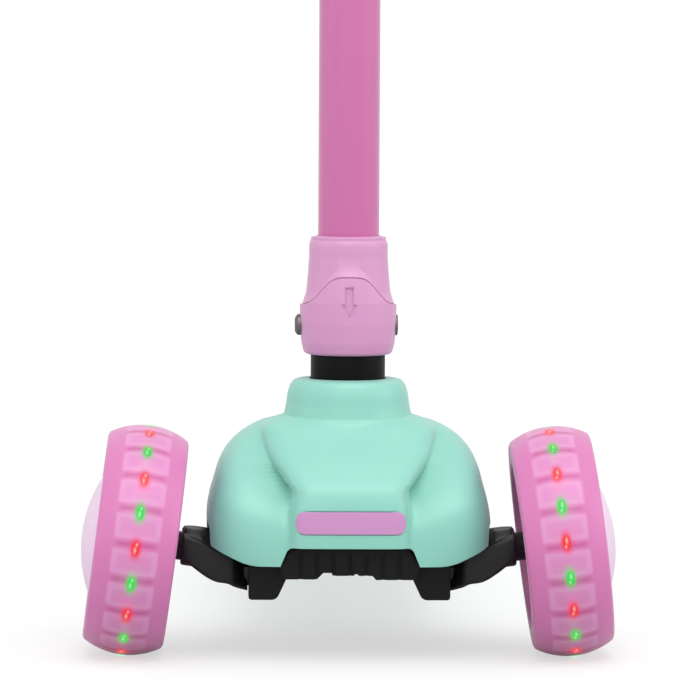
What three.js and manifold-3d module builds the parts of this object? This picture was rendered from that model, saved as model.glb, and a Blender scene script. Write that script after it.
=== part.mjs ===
// Three wheel kids scooter: lean-to-steer front end, folding T-bar and rear brake fender.
// Millimetres, +Z up, origin on the floor under the middle of the box.
// +X is the rider's left and -Y is forward.
import * as THREE from "three";
import { mergeVertices } from "three/addons/utils/BufferGeometryUtils.js";
import Module from "manifold-3d";

const wasm = await Module();
wasm.setup();

// Driving dimensions
const wheelbase = 440;
const frontWheelRadius = 60;
const frontWheelWidth = 42;
const halfTrack = 110.7;
const camber = THREE.MathUtils.degToRad(7.2);
const rearWheelRadius = 40;
const rearWheelWidth = 40;
const deckTop = 67.7;
const deckBottom = 45;
const deckHalfWidth = 59;
const stemRake = THREE.MathUtils.degToRad(2);
const stemSetback = 36;
const pivotHeight = 169;
const stemRadius = 16;
const handlebarRise = 480;
const handlebarHalfWidth = 139;

// Shared clearances, walls and overruns
const gap = 0.3;
const overrun = 20;
const boltRadius = 4;
const boltHeadRadius = 6.5;
const boltHeadHeight = 4.6;
const tubeWall = 1.5;
const mergeTolerance = 1e-4;

// Rear brake fender
const fenderClearance = 5;
const fenderThickness = 2.6;
const fenderFrontAngle = THREE.MathUtils.degToRad(150);
const fenderRearAngle = THREE.MathUtils.degToRad(18);
const fenderInnerRadius = rearWheelRadius + fenderClearance;
const fenderOuterRadius = fenderInnerRadius + fenderThickness;

// Places along the scooter
const rearReach = fenderOuterRadius * Math.cos(fenderRearAngle);
const overallLength = frontWheelRadius + wheelbase + rearReach;
const frontAxleY = frontWheelRadius - overallLength / 2;
const rearAxleY = frontAxleY + wheelbase;

// Front tyre
const tyreCrownRadius = 38;
const tyreShoulderRadius = 3;
const tyreChannelRadius = 52.4;
const tyreChannelHalfWidth = 14.3;
const tyreBoreRadius = 42.6;
const crownSteps = 6;
const frontAxleHeight = (frontWheelRadius - tyreCrownRadius) * Math.cos(camber) + tyreCrownRadius;

// Front hub
const hubRimOuterRadius = 46.5;
const hubRimInnerRadius = 41.6;
const hubWebHalfThickness = 2.5;
const hubBossRadius = 14;
const hubBlockCount = 18;
const hubBlockLength = 10.5;
const hubBlockHalfWidth = 12.5;
const hubSpokeCount = 6;
const hubSpokeThickness = 5;
const hubSpokeReach = 9;
const lightRingInnerRadius = 33;
const lightRingThickness = 3;
const lightRadius = 2.2;

// Hub cap
const capDomeRadius = 70;
const capRadius = hubRimInnerRadius * Math.cos(Math.PI / hubBlockCount) - gap;
const capRise = 12;
const capProud = 7;
const capWall = 2;

// Bearings, 22 x 8 x 7, and the piece between them
const bearingRadius = 11;
const bearingWidth = 7;
const bearingSpacing = 16;
const spacerRadius = 6.5;
const coreRadius = 10;

// Steering
const kingpinLean = THREE.MathUtils.degToRad(20);
const kingpinHalfSpacing = 44;
const kingpinHeight = 44;
const kingpinHeadRadius = 6.5;
const kingpinHeadHeight = 4;
const kingpinTop = 11;
const kingpinBottom = 10.6;
const knuckleRadius = 9;
const knuckleHeight = 11;
const armStubRadius = 7.5;
const armBossRadius = 10;
const armEndReach = 24.4;
const armSocketDepth = 14;
const armHeight = 17;
const armHalfDepth = 11.2;
const armEdge = 2;
const armRootGap = 1.9;
const tieLugReach = 25;
const tieLugHalfWidth = 5;
const tieLugThickness = 5;
const tiePinRadius = 3;
const tiePinLength = 5.4;
const tieEyeRadius = 6;
const tieEyeThickness = 4;
const tieTabHalfWidth = 2.5;

// Centring springs
const springRadius = 4;
const springWire = 0.7;
const springTurns = 4;
const springStopHalfSpacing = 27;
const springStopThickness = 4;
const springEndGap = 0.4;

// Front base
const podInner = 32;
const podOuter = 50.6;
const podFront = -24;
const podBack = 18;
const podBottom = 32;
const podTaper = 5.7;
const podTaperHeight = 12;
const baseTop = 64;
const basePlateThickness = 5;
const basePlateFront = -24;
const grilleHalfWidth = 34;
const grilleFront = -34;
const grilleBottom = 44;
const grilleClearance = 0.5;
const grilleRibCount = 8;
const grilleRibDepth = 2;
const grilleNotchHalfWidth = 17;
const grilleNotchHeight = 3;
const grilleStepHalfWidth = 9;
const grilleStepHeight = 1.4;
const columnRadius = 19.5;
const columnBossRadius = 25;
const columnBossTop = 96;
const trayFront = 58;
const trayBack = 104;
const trayHalfWidth = 45;
const trayThickness = 6;

// Front shell
const shellWall = 3;
const shellBottom = 50.7;
const shellShoulder = 121;
const shellHalfWidth = 73.7;
const shellFront = -36;
const shellBack = 81;
const hoodHalfWidth = 42;
const hoodFront = -42.5;
const hoodBack = 30;
const shellSides = 24;
const hollowSides = 16;
const neckTopRadius = 29.3;
const neckBaseRadius = 33.3;
const neckTop = 28;
const neckSink = 10;
const neckRound = 4;
const neckLip = 3;
const neckBase = pivotHeight - shellShoulder;
const neckRoot = neckBase + neckSink;
const cutOutTopHalfWidth = 30;
const cutOutBottomHalfWidth = 36;
const cutOutTop = 61;
const cutOutRound = 3;
const cutOutEase = 1;
const skirtInner = 51;
const skirtRise = 9.5;
const armArchHalfLength = 18.5;
const armArchTop = 70;
const armArchInner = 56;

// Badge plate, bare
const badgeHalfLength = 28.4;
const badgeHalfHeight = 6.1;
const badgeHeight = 74.6;
const badgeSeatDepth = 6;
const badgeProud = 0.7;
const badgePadWall = 2.5;

// Deck and mat
const deckFront = 62;
const deckNarrowing = 97;
const deckTail = 51;
const deckFrontHalfWidth = 55;
const deckCorner = 12;
const deckWall = 4;
const deckSkin = 5.5;
const deckCells = 4;
const forkInner = 22.6;
const forkOuter = 31;
const forkEyeRadius = 12;
const forkRoot = 66;
const matThickness = 2.3;
const matInset = 6;
const matFront = 88;
const matBack = 58;

// Rear wheel
const rearCrownRadius = 60;
const rearShoulderRadius = 4;
const rearRimRadius = 30;
const rearBossRadius = 14;
const rearWebHalfThickness = 3;
const rearBearingInset = 0.2;

// Brake pin and spring
const brakePinReach = 49.5;
const brakePinRadius = 3;
const brakeEyeRadius = 5.6;
const brakeEyeInner = 11.5;
const fenderHalfWidth = 21.6;
const brakeSpringTurns = 4;
const brakeSpringRadius = 4.6;
const brakeSpringWire = 0.8;

// Folding hinge, in the stem's frame with its origin at the pivot
const cupBottom = 15.3;
const cupFloor = 2.6;
const cupBoreRadius = 20.7;
const cupRise = 12;
const cupArchRise = 16;
const cupCheekRadius = 9.4;
const hingeStep = 0.8;
const hingeTop = 47;
const hingeRimEdge = 1;
const hingeNeckRadius = 20.6;
const hingeBellyRadius = 25.3;
const hingeBaseRadius = 22.9;
const ballRadius = 20.4;
const ballDiscRadius = 12.3;
const lugHalfWidth = 7;
const lugRadius = 9;
const rearStep = 23.6;
const socketFloor = 34;
const pivotHeadRadius = 5.5;
const pivotHeadProud = 2.6;
const pivotNutProud = 1;
const pivotHeadSeat = 1;
const pivotNutSeat = 2.2;

// Fold release
const buttonHeight = 28.7;
const buttonRadius = 4;
const buttonProud = 4.4;
const buttonLength = 26;
const buttonRound = 1.5;
const buttonBoreEnd = 10;
const buttonSpringRadius = 2.8;
const buttonSpringWire = 0.5;
const buttonSpringTurns = 4;

// Stem top and quick clamp
const stemTop = 311;
const bushingLength = 38;
const bushingFlange = 2;
const innerTubeRadius = 12.7;
const innerTubeBottom = 75;
const clampHeight = 30;
const clampWall = 4.4;
const clampEarLength = 15;
const clampEarHalfWidth = 9;
const clampSlit = 3;
const clampEarHeight = 22;
const clampBoltRadius = 3;
const clampBoltNutRadius = 5;
const clampBoltNutHeight = 4;
const leverPinOffset = 14;
const leverPinRadius = 2.4;
const leverEyeRadius = 4.3;
const leverEyeThickness = 6.2;
const leverHalfHeight = 7;
const leverThickness = 4.5;
const leverLength = 42;
const leverSweep = 11;

// T-bar head, crossbar and grips
const teeSocketRadius = 17;
const teeSocketLength = 34;
const teeBarRadius = 15;
const teeBarHalfLength = 32;
const crossbarRadius = 11;
const gripRadius = 16;
const gripInnerEnd = 40;
const gripFlangeRadius = 20;
const gripFlangeWidth = 3.5;
const gripEndWall = 4;
const gripRingCount = 3;
const gripRingDepth = 1;
const gripEndRound = 4;

// Facets
const wheelSides = 24;
const roundSides = 16;
const bearingSides = 12;
const pinSides = 10;

// Materials
const finish = (color, roughness, metalness = 0) => new THREE.MeshStandardMaterial({ color, roughness, metalness });
const mintPlastic = () => finish(0x9fe6d0, 0.4);
const blackPlastic = () => finish(0x1a1a1c, 0.55);
const pinkPaint = () => finish(0xd0779f, 0.35);
const pinkPlastic = () => finish(0xdb9ec8, 0.4);
const pinkTyre = () => finish(0xe39acb, 0.3);
const lilacPlastic = () => finish(0xcf9bd6, 0.4);
const steel = () => finish(0xb9bcc0, 0.35, 0.9);
const bearingSteel = () => finish(0xa9adb2, 0.3, 0.9);
const springSteel = () => finish(0x8d9196, 0.4, 0.8);
const blackRubber = () => finish(0x202022, 0.85);
const circuitBoard = () => finish(0xe8e8e2, 0.5);

// Solids: each helper takes and returns closed geometries
function toSolid(geometry) {
  const bare = geometry.clone();
  bare.deleteAttribute("normal");
  bare.deleteAttribute("uv");
  const merged = mergeVertices(bare, mergeTolerance);
  return new wasm.Manifold(
    new wasm.Mesh({
      numProp: 3,
      vertProperties: merged.attributes.position.array,
      triVerts: new Uint32Array(merged.index.array),
    }),
  );
}

function fromSolid(solid) {
  const mesh = solid.getMesh();
  return new THREE.BufferGeometry()
    .setAttribute("position", new THREE.BufferAttribute(mesh.vertProperties, 3))
    .setIndex(new THREE.BufferAttribute(mesh.triVerts, 1));
}

const join = (...bodies) => fromSolid(bodies.map(toSolid).reduce((a, b) => a.add(b)));
const cut = (body, ...tools) => fromSolid(tools.map(toSolid).reduce((a, b) => a.subtract(b), toSolid(body)));
const common = (a, b) => fromSolid(toSolid(a).intersect(toSolid(b)));

// A box between two corners
function block([x0, y0, z0], [x1, y1, z1]) {
  const geometry = new THREE.BoxGeometry(x1 - x0, y1 - y0, z1 - z0);
  return geometry.translate((x0 + x1) / 2, (y0 + y1) / 2, (z0 + z1) / 2);
}

// A round bar along one axis between two places on it
function bar(axis, radius, from, to, sides = roundSides) {
  const geometry = new THREE.CylinderGeometry(radius, radius, to - from, sides);
  geometry.translate(0, (from + to) / 2, 0);
  if (axis === "x") geometry.rotateZ(-Math.PI / 2);
  if (axis === "z") geometry.rotateX(Math.PI / 2);
  return geometry;
}

// A profile of [radius, height] points turned about Z
function revolve(profile, sides = roundSides) {
  const points = profile.map(([r, h]) => new THREE.Vector2(r, h));
  return new THREE.LatheGeometry(points, sides).rotateX(Math.PI / 2);
}

const closeLoop = (profile) => [...profile, profile[0]];

// A tube about Z
function tube(outer, inner, bottom, top, sides = roundSides) {
  const wall = [
    [inner, bottom],
    [outer, bottom],
    [outer, top],
    [inner, top],
  ];
  return revolve(closeLoop(wall), sides);
}

const alongX = (geometry) => geometry.rotateY(Math.PI / 2);

// An outline in X and Y raised along Z
function slab(shape, bottom, top, curveSegments = 8) {
  const geometry = new THREE.ExtrudeGeometry(shape, { depth: top - bottom, bevelEnabled: false, curveSegments });
  return geometry.translate(0, 0, bottom);
}

// An outline in Y and Z carried along X
function sidePlate(shape, from, to, curveSegments = 8) {
  const turn = new THREE.Matrix4().makeBasis(
    new THREE.Vector3(0, 1, 0),
    new THREE.Vector3(0, 0, 1),
    new THREE.Vector3(1, 0, 0),
  );
  return slab(shape, from, to, curveSegments).applyMatrix4(turn);
}

// An outline in X and Z carried back along Y
function frontPlate(shape, from, to, curveSegments = 8) {
  return slab(shape, -to, -from, curveSegments).rotateX(Math.PI / 2);
}

const shapeOf = (points) => new THREE.Shape(points.map(([x, y]) => new THREE.Vector2(x, y)));

// A skin through rings of equal length, each counter-clockwise about the way they follow
function loft(rings) {
  const count = rings[0].length;
  const positions = rings.flat().flatMap((p) => [p.x, p.y, p.z]);
  const faces = [];
  for (let level = 0; level + 1 < rings.length; level += 1) {
    for (let i = 0; i < count; i += 1) {
      const a = level * count + i;
      const b = level * count + ((i + 1) % count);
      faces.push(a, b, b + count, a, b + count, a + count);
    }
  }
  const last = (rings.length - 1) * count;
  for (let i = 1; i + 1 < count; i += 1) {
    faces.push(0, i + 1, i);
    faces.push(last, last + i, last + i + 1);
  }
  const geometry = new THREE.BufferGeometry();
  geometry.setAttribute("position", new THREE.Float32BufferAttribute(positions, 3));
  return geometry.setIndex(faces);
}

// A rounded-square ring at one height: its corners sharpen as the power grows
function squareRing(halfWidth, front, back, height, power, sides) {
  const centre = (front + back) / 2;
  const halfDepth = (back - front) / 2;
  const shaped = (value) => Math.sign(value) * Math.abs(value) ** (2 / power);
  return Array.from({ length: sides }, (_, i) => {
    const angle = (2 * Math.PI * (i + 0.5)) / sides;
    const x = halfWidth * shaped(Math.cos(angle));
    return new THREE.Vector3(x, centre + halfDepth * shaped(Math.sin(angle)), height);
  });
}

// The least gap between a coil's wire and itself, from points along the wire's middle
function leastGap(helix, wire, turns) {
  const pointsPerTurn = 24;
  const points = helix.getPoints(pointsPerTurn * turns);
  const apart = points.flatMap((p, i) => points.slice(i + pointsPerTurn / 2).map((q) => p.distanceTo(q)));
  return apart.reduce((least, distance) => Math.min(least, distance)) - 2 * wire;
}

// A coil of round wire along X, one unbroken tube
function coil(name, radius, wire, turns, from, to) {
  const stepsPerTurn = 8;
  const wireSides = 5;
  class Helix extends THREE.Curve {
    getPoint(t, target = new THREE.Vector3()) {
      const angle = 2 * Math.PI * turns * t;
      const x = THREE.MathUtils.lerp(from + wire, to - wire, t);
      return target.set(x, radius * Math.cos(angle), radius * Math.sin(angle));
    }
  }
  const section = new THREE.Shape().absarc(0, 0, wire, 0, 2 * Math.PI);
  const shape = new THREE.Shape(section.getSpacedPoints(wireSides).slice(0, wireSides));
  const helix = new Helix();
  console.log(`${name}: least gap to itself ${leastGap(helix, wire, turns).toFixed(2)} mm`);
  return new THREE.ExtrudeGeometry(shape, { steps: stepsPerTurn * turns, extrudePath: helix });
}

function part(name, material, geometry) {
  const mesh = new THREE.Mesh(geometry.index ? geometry.toNonIndexed() : geometry, material);
  mesh.geometry.computeVertexNormals();
  mesh.name = name;
  return mesh;
}

// Frames: the front axle's line on the floor, the rear axle, and the stem at its pivot
const scooter = new THREE.Group();
const front = new THREE.Group();
front.position.set(0, frontAxleY, 0);
const rear = new THREE.Group();
rear.position.set(0, rearAxleY, rearWheelRadius);
const stem = new THREE.Group();
stem.position.set(0, stemSetback, pivotHeight);
stem.rotation.x = -stemRake;
scooter.add(front, rear);
front.add(stem);
stem.updateMatrix();

const inFront = (geometry) => geometry.applyMatrix4(stem.matrix);

const sides = [
  { name: "left", sign: 1 },
  { name: "right", sign: -1 },
];

const mirrored = (geometry, sign) => (sign > 0 ? geometry : flipX(geometry));

// The same solid on the other side, with its faces turned out again
function flipX(geometry) {
  const flat = geometry.index ? geometry.toNonIndexed() : geometry;
  flat.scale(-1, 1, 1);
  const corners = flat.attributes.position;
  for (let i = 0; i < corners.count; i += 3) {
    const second = new THREE.Vector3().fromBufferAttribute(corners, i + 1);
    const third = new THREE.Vector3().fromBufferAttribute(corners, i + 2);
    corners.setXYZ(i + 1, ...third.toArray());
    corners.setXYZ(i + 2, ...second.toArray());
  }
  return flat;
}

// Front wheels: a wheel's own frame has +X out along its axle
function crownProfile(radius, crown, halfWidth, shoulder) {
  const reach = Math.asin((halfWidth - shoulder) / crown);
  return Array.from({ length: crownSteps + 1 }, (_, i) => {
    const angle = reach * ((2 * i) / crownSteps - 1);
    return [radius - crown + crown * Math.cos(angle), crown * Math.sin(angle)];
  });
}

function frontTyre() {
  const half = frontWheelWidth / 2;
  const crown = crownProfile(frontWheelRadius, tyreCrownRadius, half, tyreShoulderRadius);
  const side = crown[0][0] - 2 * tyreShoulderRadius;
  const outline = [
    [tyreBoreRadius, -half],
    [side, -half],
    ...crown,
    [side, half],
    [tyreBoreRadius, half],
    [tyreBoreRadius, tyreChannelHalfWidth],
    [tyreChannelRadius, tyreChannelHalfWidth],
    [tyreChannelRadius, -tyreChannelHalfWidth],
    [tyreBoreRadius, -tyreChannelHalfWidth],
  ];
  return alongX(revolve(closeLoop(outline), wheelSides));
}

function hubBlocks() {
  const corner = tyreChannelRadius * Math.cos(Math.PI / wheelSides) - gap;
  const reach = Math.sqrt(corner ** 2 - (hubBlockLength / 2) ** 2);
  const lug = block(
    [-hubBlockHalfWidth, -hubBlockLength / 2, hubRimInnerRadius + tubeWall],
    [hubBlockHalfWidth, hubBlockLength / 2, reach],
  );
  return Array.from({ length: hubBlockCount }, (_, i) =>
    lug.clone().rotateX((2 * Math.PI * (i + 0.5)) / hubBlockCount),
  );
}

function hubSpokes() {
  const spoke = block(
    [-hubWebHalfThickness - hubSpokeReach, -hubSpokeThickness / 2, hubBossRadius - hubSpokeThickness / 2],
    [0, hubSpokeThickness / 2, hubRimInnerRadius + tubeWall],
  );
  return Array.from({ length: hubSpokeCount }, (_, i) => spoke.clone().rotateX((2 * Math.PI * i) / hubSpokeCount));
}

const bearingPocket = () => bearingSpacing / 2 + gap / 2;
const bearingOuterFace = () => bearingPocket() + bearingWidth + gap;

function frontHub() {
  const rimHalf = tyreChannelHalfWidth - gap;
  const bossHalf = bearingOuterFace();
  const rim = tube(hubRimOuterRadius, hubRimInnerRadius, -rimHalf, rimHalf, hubBlockCount);
  const web = tube(hubRimInnerRadius + tubeWall, coreRadius + gap, -hubWebHalfThickness, hubWebHalfThickness, hubBlockCount);
  const boss = tube(hubBossRadius, coreRadius + gap, -bossHalf, bossHalf);
  const pocket = bar("x", bearingRadius + gap, bearingPocket() - gap / 2, bossHalf + overrun);
  const otherPocket = bar("x", bearingRadius + gap, -bossHalf - overrun, -bearingPocket() + gap / 2);
  const ring = join(alongX(rim), alongX(web), ...hubBlocks()).rotateX(Math.PI / hubBlockCount);
  return cut(join(ring, alongX(boss), ...hubSpokes()), pocket, otherPocket);
}

function hubCap() {
  const apex = frontWheelWidth / 2 + capProud;
  const centre = apex - capDomeRadius;
  const rimX = apex - capRise;
  const seat = tyreChannelHalfWidth;
  const steps = 4;
  const dome = (radius, reach) =>
    Array.from({ length: steps + 1 }, (_, i) => {
      const angle = Math.asin(reach / radius) * (1 - i / steps);
      return [radius * Math.sin(angle), centre + radius * Math.cos(angle)];
    });
  const outside = dome(capDomeRadius, capRadius);
  const inside = dome(capDomeRadius - capWall, capRadius - capWall).reverse();
  const base = Math.min(outside[0][1], rimX) - capWall;
  const lip = [
    [capRadius - capWall, Math.min(base, seat) ],
    [capRadius, Math.min(base, seat)],
  ];
  return alongX(revolve([...inside, ...lip, ...outside]));
}

function lightRing() {
  const from = hubWebHalfThickness + gap;
  const to = from + lightRingThickness;
  const board = tube(capRadius, lightRingInnerRadius, from, to, hubBlockCount);
  const middle = (lightRingInnerRadius + capRadius) / 2;
  const count = hubBlockCount / 3;
  const lamps = Array.from({ length: count }, (_, i) =>
    bar("x", lightRadius, to - gap, to + lightRadius, 6)
      .translate(0, 0, middle)
      .rotateX((2 * Math.PI * (i + 0.5)) / count),
  );
  return join(alongX(board), ...lamps);
}

const bearing = (from) => alongX(tube(bearingRadius, boltRadius + gap, from, from + bearingWidth, bearingSides));

function axleBolt() {
  const headFrom = bearingOuterFace();
  const shank = bar("x", boltRadius, -armEndReach - armSocketDepth, headFrom + tubeWall, pinSides);
  const head = bar("x", boltHeadRadius, headFrom, headFrom + boltHeadHeight, 6);
  return join(shank, head);
}

function frontWheel({ name, sign }) {
  const wheel = new THREE.Group();
  wheel.position.set(sign * halfTrack, 0, frontAxleHeight);
  wheel.rotation.y = sign > 0 ? -camber : Math.PI + camber;
  const near = bearingPocket();
  const magnetCore = () => alongX(tube(coreRadius, boltRadius + gap, gap - near, near - gap, bearingSides));
  wheel.add(
    part(`front_tyre_${name}`, pinkTyre(), frontTyre()),
    part(`front_hub_${name}`, lilacPlastic(), frontHub()),
    part(`hub_cap_${name}`, lilacPlastic(), hubCap()),
    part(`light_ring_${name}`, circuitBoard(), lightRing()),
    part(`outer_bearing_${name}`, bearingSteel(), bearing(near)),
    part(`inner_bearing_${name}`, bearingSteel(), bearing(-near - bearingWidth)),
    part(`magnet_core_${name}`, springSteel(), magnetCore()),
    part(`axle_bolt_${name}`, steel(), axleBolt()),
  );
  return wheel;
}

front.add(...sides.map(frontWheel));

// Steering arms: a gull-wing beam from the kingpin knuckle up to the axle boss
const armEndX = halfTrack - armEndReach * Math.cos(camber);
const armRootX = podOuter + armRootGap;
// Shares along the beam, then heights and depths as shares of the beam's end height and depth
const armStationShares = [
  { along: 0, bottom: -0.57, top: 0.32, lift: 0.1, depth: 0.7 },
  { along: 0.2, bottom: -0.46, top: 0.52, lift: 0.12, depth: 0.85 },
  { along: 0.3, bottom: -0.33, top: 0.6, lift: 0.15, depth: 0.93 },
  { along: 0.5, bottom: -0.26, top: 0.76, lift: 0.22, depth: 1 },
  { along: 0.68, bottom: -0.06, top: 0.92, lift: 0.26, depth: 1 },
  { along: 1, bottom: 0.42, top: 1.26, lift: 0.26, depth: 1 },
];

function armSection({ along, bottom, top, lift, depth }) {
  const x = THREE.MathUtils.lerp(armRootX, armEndX, along);
  const low = kingpinHeight + bottom * armHeight;
  const high = kingpinHeight + top * armHeight;
  const y = depth * armHalfDepth;
  const outline = [
    [-y + armEdge, low],
    [y - armEdge, low],
    [y, low + armEdge],
    [y, high + lift * armHeight - armEdge],
    [y - armEdge, high + lift * armHeight],
    [-y + armEdge, high],
    [-y, high - armEdge],
    [-y, low + armEdge],
  ];
  return outline.map(([py, pz]) => new THREE.Vector3(x, py, pz));
}

const kingpinFrame = new THREE.Matrix4()
  .makeTranslation(kingpinHalfSpacing, 0, kingpinHeight)
  .multiply(new THREE.Matrix4().makeRotationX(kingpinLean));
const onKingpin = (geometry) => geometry.applyMatrix4(kingpinFrame);

const axleFrame = new THREE.Matrix4()
  .makeTranslation(halfTrack, 0, frontAxleHeight)
  .multiply(new THREE.Matrix4().makeRotationY(-camber));
const onAxle = (geometry) => geometry.applyMatrix4(axleFrame);

function steeringArm() {
  const beam = loft(armStationShares.map(armSection));
  const half = knuckleHeight / 2;
  const knuckle = onKingpin(bar("z", knuckleRadius, -half, half));
  const rootReach = armRootX - kingpinHalfSpacing + armEdge;
  const root = onKingpin(block([0, -knuckleRadius + armEdge, -half], [rootReach, knuckleRadius - armEdge, half]));
  const lug = onKingpin(block([-tieLugHalfWidth, 0, -half], [tieLugHalfWidth, tieLugReach, tieLugThickness - half]));
  const lugEnd = onKingpin(bar("z", tieLugHalfWidth, -half, tieLugThickness - half, pinSides).translate(0, tieLugReach, 0));
  const pinTop = tieLugThickness - half + tiePinLength;
  const tiePin = onKingpin(bar("z", tiePinRadius, -half, pinTop, pinSides).translate(0, tieLugReach, 0));
  const boss = onAxle(bar("x", armBossRadius, -armEndReach - armBossRadius, -armEndReach));
  const stub = onAxle(bar("x", armStubRadius, -armEndReach - armBossRadius, -bearingOuterFace()));
  const axleHole = onAxle(bar("x", boltRadius + gap, -armEndReach - armSocketDepth - gap, overrun, pinSides));
  const kingpinHole = onKingpin(bar("z", boltRadius + gap, -overrun, overrun, pinSides));
  return cut(join(beam, knuckle, root, lug, lugEnd, tiePin, boss, stub), axleHole, kingpinHole);
}

function kingpin() {
  const shank = bar("z", boltRadius, -kingpinBottom, kingpinTop + gap + tubeWall, pinSides);
  const head = bar("z", kingpinHeadRadius, kingpinTop + gap, kingpinTop + gap + kingpinHeadHeight, 6);
  return onKingpin(join(shank, head));
}

for (const { name, sign } of sides) {
  front.add(part(`steering_arm_${name}`, blackPlastic(), mirrored(steeringArm(), sign)));
  front.add(part(`kingpin_${name}`, steel(), mirrored(kingpin(), sign)));
}

// Tie rod between the arms' rear pins, with a tab in the middle for the springs
const tieLevel = tieLugThickness - knuckleHeight / 2 + gap;
const tieFrame = new THREE.Matrix4()
  .makeTranslation(0, 0, kingpinHeight)
  .multiply(new THREE.Matrix4().makeRotationX(kingpinLean));
const onTie = (geometry) => geometry.applyMatrix4(tieFrame);
const springOuter = springRadius + springWire;
const springReach = tieLugReach + tieEyeRadius / 2 + gap + springOuter;
const springLevel = tieLevel - springOuter;

function tieRod() {
  const top = tieLevel + tieEyeThickness;
  const rod = block(
    [-kingpinHalfSpacing, tieLugReach - tieEyeRadius / 2, tieLevel],
    [kingpinHalfSpacing, tieLugReach + tieEyeRadius / 2, top],
  );
  const eyes = sides.map(({ sign }) =>
    bar("z", tieEyeRadius, tieLevel, top).translate(sign * kingpinHalfSpacing, tieLugReach, 0),
  );
  const holes = sides.map(({ sign }) =>
    bar("z", tiePinRadius + gap, tieLevel - overrun, top + overrun, pinSides).translate(
      sign * kingpinHalfSpacing,
      tieLugReach,
      0,
    ),
  );
  const tab = block(
    [-tieTabHalfWidth, tieLugReach, springLevel - springOuter],
    [tieTabHalfWidth, springReach + springOuter, tieLevel + tieEyeThickness / 2],
  );
  return onTie(cut(join(rod, tab, ...eyes), ...holes));
}

front.add(part("tie_rod", steel(), tieRod()));

// Centring springs between the tie rod's tab and the stops under the base
const springTo = springStopHalfSpacing - springStopThickness / 2 - springEndGap;

for (const { name, sign } of sides) {
  const springFrom = tieTabHalfWidth + springEndGap;
  const spring = coil(`centring_spring_${name}`, springRadius, springWire, springTurns, springFrom, springTo);
  spring.translate(0, springReach, springLevel);
  front.add(part(`centring_spring_${name}`, springSteel(), mirrored(onTie(spring), sign)));
}

// Front base: pods that hold the kingpins, grille, column boss and the tray under the deck
function pod() {
  const outline = shapeOf([
    [podInner, baseTop - basePlateThickness],
    [podInner, podBottom + podTaperHeight],
    [podInner + podTaper, podBottom],
    [podOuter, podBottom],
    [podOuter, baseTop - basePlateThickness / 2],
    [podInner, baseTop - basePlateThickness / 2],
  ]);
  return frontPlate(outline, podFront, podBack);
}

function podCuts() {
  const half = knuckleHeight / 2 + gap;
  const slot = onKingpin(block([-knuckleRadius - gap, 0, -half], [overrun, podBack + overrun, half]));
  const outerSlot = onKingpin(block([0, -knuckleRadius - armEdge * 2, -half], [overrun, 0.5 * overrun, half]));
  const round = onKingpin(bar("z", knuckleRadius + gap, -half, half));
  const pinHole = onKingpin(bar("z", boltRadius + gap, -kingpinBottom - gap, overrun + overrun, pinSides));
  const headSeat = onKingpin(bar("z", kingpinHeadRadius + 2 * gap, kingpinTop, overrun + overrun));
  return [slot, outerSlot, round, pinHole, headSeat];
}

function grille() {
  const shoulder = cutOutBottomHalfWidth - 2 * grilleClearance;
  const outline = shapeOf([
    [-cutOutTopHalfWidth + cutOutRound, cutOutTop - grilleClearance],
    [-cutOutTopHalfWidth + grilleClearance, cutOutTop - cutOutRound],
    [-shoulder, shellBottom],
    [-grilleHalfWidth, grilleBottom],
    [-grilleNotchHalfWidth, grilleBottom],
    [-grilleNotchHalfWidth + grilleNotchHeight, grilleBottom + grilleNotchHeight],
    [-grilleStepHalfWidth, grilleBottom + grilleNotchHeight],
    [-grilleStepHalfWidth, grilleBottom + grilleNotchHeight - grilleStepHeight],
    [grilleStepHalfWidth, grilleBottom + grilleNotchHeight - grilleStepHeight],
    [grilleStepHalfWidth, grilleBottom + grilleNotchHeight],
    [grilleNotchHalfWidth - grilleNotchHeight, grilleBottom + grilleNotchHeight],
    [grilleNotchHalfWidth, grilleBottom],
    [grilleHalfWidth, grilleBottom],
    [shoulder, shellBottom],
    [cutOutTopHalfWidth - grilleClearance, cutOutTop - cutOutRound],
    [cutOutTopHalfWidth - cutOutRound, cutOutTop - grilleClearance],
  ]);
  const wall = frontPlate(outline, grilleFront, basePlateFront + tubeWall);
  const pitch = (2 * grilleHalfWidth) / grilleRibCount;
  const grooves = Array.from({ length: grilleRibCount - 1 }, (_, i) => {
    const x = -grilleHalfWidth + pitch * (i + 1);
    return block([x - pitch / 5, grilleFront - overrun, 0], [x + pitch / 5, grilleFront + grilleRibDepth, baseTop]);
  });
  return cut(wall, ...grooves);
}

const columnBottom = pivotHeight - baseTop - gap;

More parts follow.
